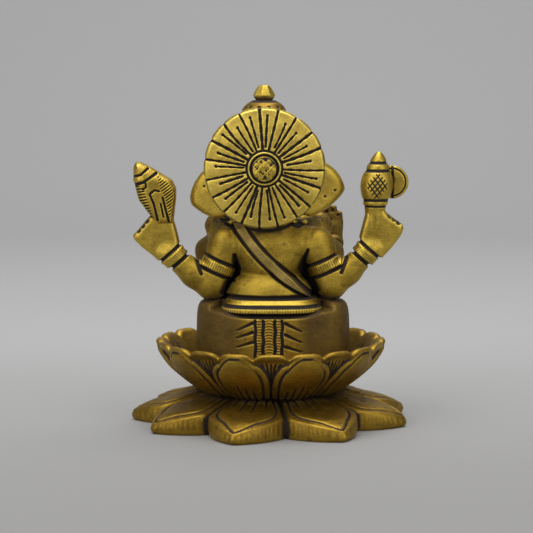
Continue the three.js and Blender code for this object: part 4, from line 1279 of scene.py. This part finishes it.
def ears():
    for side, word in SIDES:
        middle = spot(f"ear_{word}")
        outline = resample(EARS[side] + EARS[side][:1], 40, 1)[:-1]
        hinge = EARS[side][0][0]

        def field(p):
            x, y, z = p.T
            flat = outline_field(x, z, outline)
            bent = middle[1] - 0.014 * (x - hinge) ** 2 + 0.9
            front = ramp(0, -4.0, flat) * (y < bent)
            cut = bump(flat + 1.5, 0.8) * (y < bent)
            for at in EAR_PITS[side]:
                cut = np.maximum(cut, bump(np.hypot(x - at[0], z - at[1]), 1.0) * (y > bent))
            thick = np.abs(y - bent) - 1.9 + 1.1 * front
            shell = smooth_max(flat, thick, 1.9)
            return shell + 0.3 * cut + 0.08 * hammered(p, 4.0, 31 + side), cut
        skin(f"ear_{word}", field, bright, 0.24, margin=3.0)


def spun(name, profile, material, cut_at=None, columns=320, rows=110, sink=0.35, facets=0, rounds=1,
         worked=0.04):
    """A turned piece on its node's middle, with cuts given by height, angle and radius."""
    low, centre = box_mm(name)[0], spot(name)
    line = resample(profile, rows, rounds)
    turn = np.broadcast_to(turns(columns), (rows, columns))
    r, up = np.repeat(line[:, :1], columns, 1), np.repeat(line[:, 1:], columns, 1)
    cut = cut_at(up, turn, r) if cut_at else np.zeros(r.shape)
    r = np.maximum(r - sink * cut, 0.02)
    if facets:
        share = np.pi / facets
        r = r / np.cos((turn + 0.2) % (2 * share) - share) * np.cos(share * 0.6)
    points = upright_ring(centre, r, turn, low[2] + up)
    points[..., 0:2] += worked * hammered(points, 2.0, 40)[..., None]
    capped_piece(name, points, cut, material)


def crown():
    low, high = box_mm("crown_band")
    tall, radius = high[2] - low[2], (high[0] - low[0]) / 2

    def beads(up, turn, r):
        rings = bump(up - 0.55, 0.5) + bump(up - 2.05, 0.5)
        between = bump(((turn * 36 / (2 * np.pi)) % 1 - 0.5) * 1.9, 0.7) * (np.abs(up - 1.3) < 0.75)
        return np.clip(np.maximum(rings, between), 0, 1) * (r > radius - 1)
    spun("crown_band", [(POLE, 0), (radius - 2, 0), (radius - 0.3, 0.1), (radius, 1.3),
                        (radius - 0.3, tall - 0.1), (radius - 2, tall), (POLE, tall)],
         bright, beads, columns=360, rows=70, rounds=2)

    def petals(up, turn, r):
        rings = [bump(up - at, 0.7) for at in (2.3, 6.9, 11.7)] + [0.9 * ramp(14.1, 14.6, up)]
        lower_tier = up < 6.9
        count = np.where(lower_tier, 16, 12)
        phase = (turn * count / (2 * np.pi)) % 1 - 0.5
        reach = np.where(lower_tier, up - 2.6, up - 7.2) / np.where(lower_tier, 4.0, 4.4)
        half = 0.46 * np.sqrt(np.clip(1 - reach ** 2, 0, 1))
        arch = np.abs(np.abs(phase) - half) * 2 * np.pi * r / count
        edge = bump(arch, 0.75) * (up > 2.5) * (up < 11.6) * (reach < 1)
        dots = bump(np.hypot(phase * 2.1, up - 13.0), 1.1)
        return np.clip(highest([*rings, edge, dots]), 0, 1)
    spun("crown", [(POLE, 0), (9.2, 0), (9.5, 0.4), (9.6, 1.4), (9.0, 2.2), (9.1, 3.0), (8.8, 4.6),
                   (7.9, 6.2), (7.5, 6.9), (7.7, 7.6), (7.6, 9.2), (7.2, 10.5), (6.8, 11.6), (6.3, 12.5),
                   (5.5, 13.5), (4.5, 14.4), (3.5, 15.0), (POLE, 15.1)],
         aged, petals, columns=400, rows=130)

    def collar(up, _turn, _r):
        return ramp(3.3, 2.9, up)
    spun("crown_finial", [(POLE, 0), (2.6, 0), (3.1, 1.4), (2.7, 2.2), (2.2, 2.9), (2.3, 3.2), (2.6, 3.5),
                          (3.15, 4.5), (3.1, 4.9), (1.7, 7.3), (1.4, 7.55), (POLE, 7.6)],
         bright, collar, columns=160, rows=80, sink=0.2, facets=8)


# ---------------------------------------------------------------- necklace and pendant

def onto_body(start, way):
    """Where a ray from outside first meets the figure's skin."""
    at, way = np.array(start, float), np.array(way, float) / np.linalg.norm(way)
    for _ in range(40):
        at = at + way * max(0.02, trunk_of_body(at[None])[0]) * 0.7
    return at


def necklace():
    count, (low, high) = 34, box_mm("necklace")
    strung = []
    for k in range(count):
        turn = 2 * np.pi * k / count
        level = (low[2] + high[2]) / 2 + (high[2] - low[2]) / 2 * 0.85 * np.cos(turn)
        way = np.array([np.sin(turn), np.cos(turn), 0])
        strung.append(onto_body(np.array([1.4, 1.0, level]) + way * 25, -way) + way * 0.35)

    def field(p):
        beads = lowest([ball(p, at, (0.8, 0.8, 0.8)) for at in strung])
        pairs = zip(strung, strung[1:] + strung[:1])
        cord = lowest([limb(p, a, b, 0.42, 0.42) for a, b in pairs])
        return smooth_min(beads, cord, 0.15), ramp(0.1, 0.4, beads) * 0.8
    skin("necklace", field, bright, 0.2, margin=4.0)

    at = spot("pendant")
    hang = onto_body((at[0], -25, at[2]), BACK)

    def drop(p):
        x, _, z = (p - hang).T
        disc = ball(p, hang + (0, -0.1, 0), (1.9, 1.0, 1.75))
        boss = ball(p, hang + (0, -0.9, 0), (0.8, 0.6, 0.8))
        cut = bump(np.hypot(x, z) - 1.05, 0.5)
        return smooth_min(disc, boss, 0.2) + 0.15 * cut, cut
    skin("pendant", drop, bright, 0.15, margin=4.0)


# ---------------------------------------------------------------- crossed legs and feet

LEG = [(8.4, -3.0, 26.6, 7.6), (17.4, -8.6, 25.2, 6.3), (14.5, -13.6, 24.2, 5.8), (5.6, -19.0, 22.6, 4.1)]


def legs():
    for side, word in SIDES:
        low, high = box_mm(f"leg_{word}")
        ankle = spot(f"foot_{word}", 0, 1, 0, 0.5)
        joints = [(side * out, *rest) for out, *rest in LEG]

        def leg(p):
            drape = np.linalg.norm(p - (side * 2.0, -18.0, 36.0), axis=-1)
            cut = bump((drape / 2.3 % 1 - 0.5) * 2.3, 0.8) * ramp(0.5, 3, -p[..., 1]) * 0.9
            hem = bump(np.linalg.norm(p - ankle, axis=-1) - 5.4, 0.9)
            marks = np.maximum(cut, hem)
            shape = tube(p, joints, 30)[0] + 0.4 * marks + 0.1 * hammered(p, 5.0, 50 + side)
            return highest([shape, (low - p).max(-1), (p - high).max(-1)]), marks
        skin(f"leg_{word}", leg, cloth_front, 0.3, margin=0.9)

        (inner, front, level), (outer, back, _) = box_mm(f"foot_{word}")
        level, middle, heel_y = level + 2.0, (inner + outer) / 2, back - 2.2

        def foot(p):
            sole = limb(p, (middle, heel_y, level + 0.5), (middle, front + 3.4, level), 2.4, 2.0)
            for k in range(5):
                x = inner + 0.75 + (outer - inner - 1.5) * k / 4
                reach = 0.9 + 0.25 * (k if side == LEFT else 4 - k)
                toe = limb(p, (x, front + 2.6, level), (x, front + reach, level - 0.5), 0.75, 0.62)
                sole = smooth_min(sole, toe, 0.2)
            ring = bump(p[..., 1] - heel_y + 0.4, 0.7)
            return sole + 0.35 * ring, ring
        skin(f"foot_{word}", foot, bright, 0.18, margin=1.5)


# ---------------------------------------------------------------- fixing under the base

def fixing():
    def slot_cut(up, turn, r):
        return bump(r * np.sin(turn), 1.1) * (up < 0.5) * (r < 2.9)
    spun("base_screw", [(POLE, 0), (2.6, 0), (3.2, 0.35), (3.4, 1.0), (3.4, 2.1), (3.2, 2.3), (1.5, 2.4),
                        (1.42, 3.2), (1.5, 4), (1.5, 20.6), (1.0, 21.5), (POLE, 21.6)],
         steel, slot_cut, columns=96)
    spun("screw_washer", [(1.7, 0), (4.2, 0), (4.4, 0.15), (4.4, 0.45), (4.2, 0.6), (1.7, 0.6)],
         steel, columns=96, rows=40)


# ---------------------------------------------------------------- dirt and wear

def mesh_arrays(mesh):
    """A mesh's points in millimetres, its normals and its edges."""
    points = np.empty(len(mesh.vertices) * 3, np.float32)
    normals = np.empty_like(points)
    mesh.vertices.foreach_get("co", points)
    mesh.vertices.foreach_get("normal", normals)
    edges = np.empty(len(mesh.edges) * 2, np.int32)
    mesh.edges.foreach_get("vertices", edges)
    return points.reshape(-1, 3) / MM, normals.reshape(-1, 3), edges.reshape(-1, 2)


def average_over(edges, values, count):
    """Each point's mean over its neighbours."""
    total = np.zeros((count, values.shape[1]))
    for a, b in (edges.T, edges.T[::-1]):
        for i in range(values.shape[1]):
            total[:, i] += np.bincount(a, values[b, i], count)
    share = np.bincount(edges.ravel(), minlength=count)
    return total / np.maximum(share, 1)[:, None]


def keep_wear(piece):
    """Stores how sharply the surface turns outwards, which is where handling rubs it bright."""
    points, normals, edges = mesh_arrays(piece.data)
    smooth = points
    for _ in range(4):
        smooth = average_over(edges, smooth, len(points))
    out = ((points - smooth) * normals).sum(1, keepdims=True)
    out = average_over(edges, out, len(points))[:, 0]
    keep_attribute(piece.data, "edge", np.clip(out * 14, 0, 1))


def keep_crevices():
    """Stores how closely each point is walled in by the whole figure: where patina survives, and where the
    material paints shade in corners and between parts (painted ambient occlusion).
    """
    pitch, reach, border = 0.5, 9, 6
    points, faces, start = [], [], 0
    for piece in pieces:
        piece.data.calc_loop_triangles()
        corners = np.empty(len(piece.data.loop_triangles) * 3, np.int32)
        piece.data.loop_triangles.foreach_get("vertices", corners)
        at = mesh_arrays(piece.data)[0]
        points.append(at)
        faces.append(corners.reshape(-1, 3) + start)
        start += len(at)
    low = np.min([at.min(0) for at in points], 0) - border
    cells = (np.concatenate(points) - low) / pitch
    grid = openvdb.FloatGrid.createLevelSetFromPolygons(
        cells.astype(np.float32), triangles=np.concatenate(faces).astype(np.uint32),
        transform=openvdb.createLinearTransform(1.0), halfWidth=float(reach))
    size = np.ceil(cells.max(0)).astype(int) + 16
    values = np.full(size, reach, np.float32)
    grid.copyToArray(values)

    def depth_at(at):
        cell = np.clip((at - low) / pitch, 0, size - 2)
        base = np.floor(cell).astype(int)
        part = cell - base
        total = 0
        for corner in np.ndindex(2, 2, 2):
            weight = np.prod(np.where(corner, part, 1 - part), axis=1)
            total = total + weight * values[tuple((base + corner).T)]
        return total * pitch

    for piece in pieces:
        at, normals, edges = mesh_arrays(piece.data)
        closed = 0
        for distance, weight in ((0.9, 0.3), (1.8, 0.35), (3.4, 0.35)):
            open_by = depth_at(at + normals * distance) / distance
            closed = closed + weight * np.clip(1.08 - open_by, 0, 1)
        walled = average_over(edges, closed[:, None], len(at))[:, 0]
        keep_attribute(piece.data, "crevice_shade", np.clip(walled, 0, 1))


# ---------------------------------------------------------------- floor, light and camera

def plain_material(name, colour, rough):
    material = bpy.data.materials.new(name)
    material.use_nodes = True
    shader = material.node_tree.nodes["Principled BSDF"]
    shader.inputs["Base Color"].default_value = (*colour, 1)
    shader.inputs["Roughness"].default_value = rough
    return material


# Painted shade on the paper: darker towards the camera, standing in for the light falling off there.
PAPER_FAR, PAPER_NEAR_SHADED = (0.395, 0.395, 0.395, 1), (0.262, 0.26, 0.255, 1)
PAPER_SHADE_FADE = {"From Min": -0.2, "From Max": 0.14, "To Min": 0.0, "To Max": 1.0}  # metres along Y
ROOM_GREY, ROOM_STRENGTH = 0.78, 0.32
LIGHTS = {  # place, size and watts
    "overhead": ((0.1, 0.16, 0.95), 0.9, 7.0),
    "left_window": ((0.7, 0.75, 0.42), 0.8, 3.4),
    "right_fill": ((-0.7, 0.7, 0.40), 0.8, 2.8),
    "backdrop_light": ((-0.15, -0.35, 1.0), 0.6, 3.7),
}
LIT_POINT = Vector((0, 0, 0.05))


def aim(name, data, at, target):
    """Puts a lamp or a camera in the scene, turned towards a point."""
    made = bpy.data.objects.new(name, data)
    made.location = at
    made.rotation_euler = (target - Vector(at)).to_track_quat("-Z", "Y").to_euler()
    bpy.context.scene.collection.objects.link(made)
    return made


def shaded_paper_material():
    """Pale grey paper with painted shade: it darkens from the backdrop towards the camera."""
    material = plain_material("paper", (0.4, 0.4, 0.4), 0.8)
    nodes, links = material.node_tree.nodes, material.node_tree.links
    place = nodes.new("ShaderNodeTexCoord").outputs["Object"]
    apart = nodes.new("ShaderNodeSeparateXYZ")
    links.new(place, apart.inputs[0])
    fade = nodes.new("ShaderNodeMapRange")
    fade.interpolation_type = "SMOOTHSTEP"
    for key, value in PAPER_SHADE_FADE.items():
        fade.inputs[key].default_value = value
    links.new(apart.outputs["Y"], fade.inputs["Value"])
    mixer = nodes.new("ShaderNodeMix")
    mixer.data_type = "RGBA"
    mixer.inputs[6].default_value = PAPER_FAR
    mixer.inputs[7].default_value = PAPER_NEAR_SHADED
    links.new(fade.outputs["Result"], mixer.inputs[0])
    links.new(mixer.outputs[2], nodes["Principled BSDF"].inputs["Base Color"])
    return material


def studio():
    """A sweep of pale paper: a floor that curves up into a backdrop behind the figure's front."""
    wide, depth, bend = 1.6, 0.55, 0.35
    profile = [(1.2, 0.0), (-depth, 0.0)]
    for step in range(1, 13):
        turn = step / 12 * np.pi / 2
        profile.append((-depth - bend * np.sin(turn), bend * (1 - np.cos(turn))))
    profile.append((-depth - bend, 1.6))
    points = [(x, y, z) for y, z in profile for x in (-wide, wide)]
    faces = [(2 * i, 2 * i + 1, 2 * i + 3, 2 * i + 2) for i in range(len(profile) - 1)]
    mesh = bpy.data.meshes.new("sweep")
    mesh.from_pydata(points, [], faces)
    for polygon in mesh.polygons:
        polygon.use_smooth = True
    mesh.materials.append(shaded_paper_material())
    sweep = bpy.data.objects.new("sweep", mesh)
    bpy.context.scene.collection.objects.link(sweep)

    for name, (at, size, watts) in LIGHTS.items():
        light = bpy.data.lights.new(name, "AREA")
        light.shape, light.size, light.energy = "DISK", size, watts
        aim(name, light, at, LIT_POINT)

    world = bpy.data.worlds.new("room")
    world.use_nodes = True
    room = world.node_tree.nodes["Background"].inputs
    room["Color"].default_value = (ROOM_GREY, ROOM_GREY, ROOM_GREY, 1)
    room["Strength"].default_value = ROOM_STRENGTH
    bpy.context.scene.world = world
    bpy.context.scene.view_settings.view_transform = "Standard"


def camera():
    """Behind the figure, a little above it, as a product photograph of its back would be taken."""
    height = cad_box[1][2]
    target = Vector((0.0013, 0.0, 0.461 * height))
    distance, lift = 6.0 * height, np.radians(6.5)
    lens = bpy.data.cameras.new("camera")
    lens.sensor_width, lens.lens = 36, 136
    behind = target + distance * Vector((0, np.cos(lift), np.sin(lift)))
    bpy.context.scene.camera = aim("camera", lens, behind, target)


# ---------------------------------------------------------------- the whole figure

bright = brass("bright_brass")
# Lighter brass for the halo: partly its polish, partly painted light, as the halo catches more light than the
# back.
halo_lit_brass = brass("halo_lit_brass", (0.86, 0.63, 0.125), (0.50, 0.35, 0.06), rough=0.46)
skin_brass = brass("skin_brass", (0.54, 0.375, 0.052), (0.26, 0.168, 0.023), grime=0.85, rough=0.52,
                   film=0.16, hatch=((0.55, 0.0, 0.83), 2.3, 0.22))
aged = brass("aged_brass", (0.47, 0.295, 0.036), (0.20, 0.112, 0.016), grime=1.1, rough=0.46, film=0.34)
# Darker brass for the front arms and the raised hand: partly patina, partly painted shade, as they sit behind
# the rear arms and the halo.
shaded_dull = brass("shaded_dull_brass", (0.46, 0.31, 0.06), (0.22, 0.14, 0.027), grime=1.3, rough=0.47, film=0.5)
trim = dict(grime=0.4, rough=0.38)
armlet_brass = {side: brass(f"armlet_brass_{word}", hatch=((0.914, 0.0, side * 0.407), 1.45, 0.85), **trim)
                for side, word in SIDES}
bracelet_brass = {side: brass(f"bracelet_brass_{word}", hatch=((side * -0.61, 0.0, 0.79), 1.5, 0.6), **trim)
                  for side, word in SIDES}
sash_brass = brass("sash_brass", (0.48, 0.35, 0.10), (0.25, 0.17, 0.05),
                   hatch=((0.707, 0.0, 0.707), 2.2, 0.6))
steel = brass("screw_steel", (0.45, 0.45, 0.46), (0.22, 0.22, 0.23), rough=0.34)
cloth = brass("cloth_brass", (0.54, 0.355, 0.055), (0.28, 0.17, 0.028), grime=1.0, rough=0.5, film=0.92,
              hatch=((0.3, 0.2, 0.93), 2.4, 0.38))
cloth_front = brass("cloth_front_brass", (0.42, 0.29, 0.085), (0.20, 0.13, 0.04), grime=1.0, rough=0.44)

BUILDERS = (lotus_base, lotus_bowl, dhoti_seat, torso, arms, hands, waist_belt, belt_clasp, sash, halo_disc,
            halo_rivet, conch_shell, axe_haft, axe_blade, sweet_bowl, sweets, head, ears, crown, necklace,
            legs, fixing)
for build in BUILDERS:
    build()
for piece in pieces:
    keep_wear(piece)
keep_crevices()
studio()
camera()
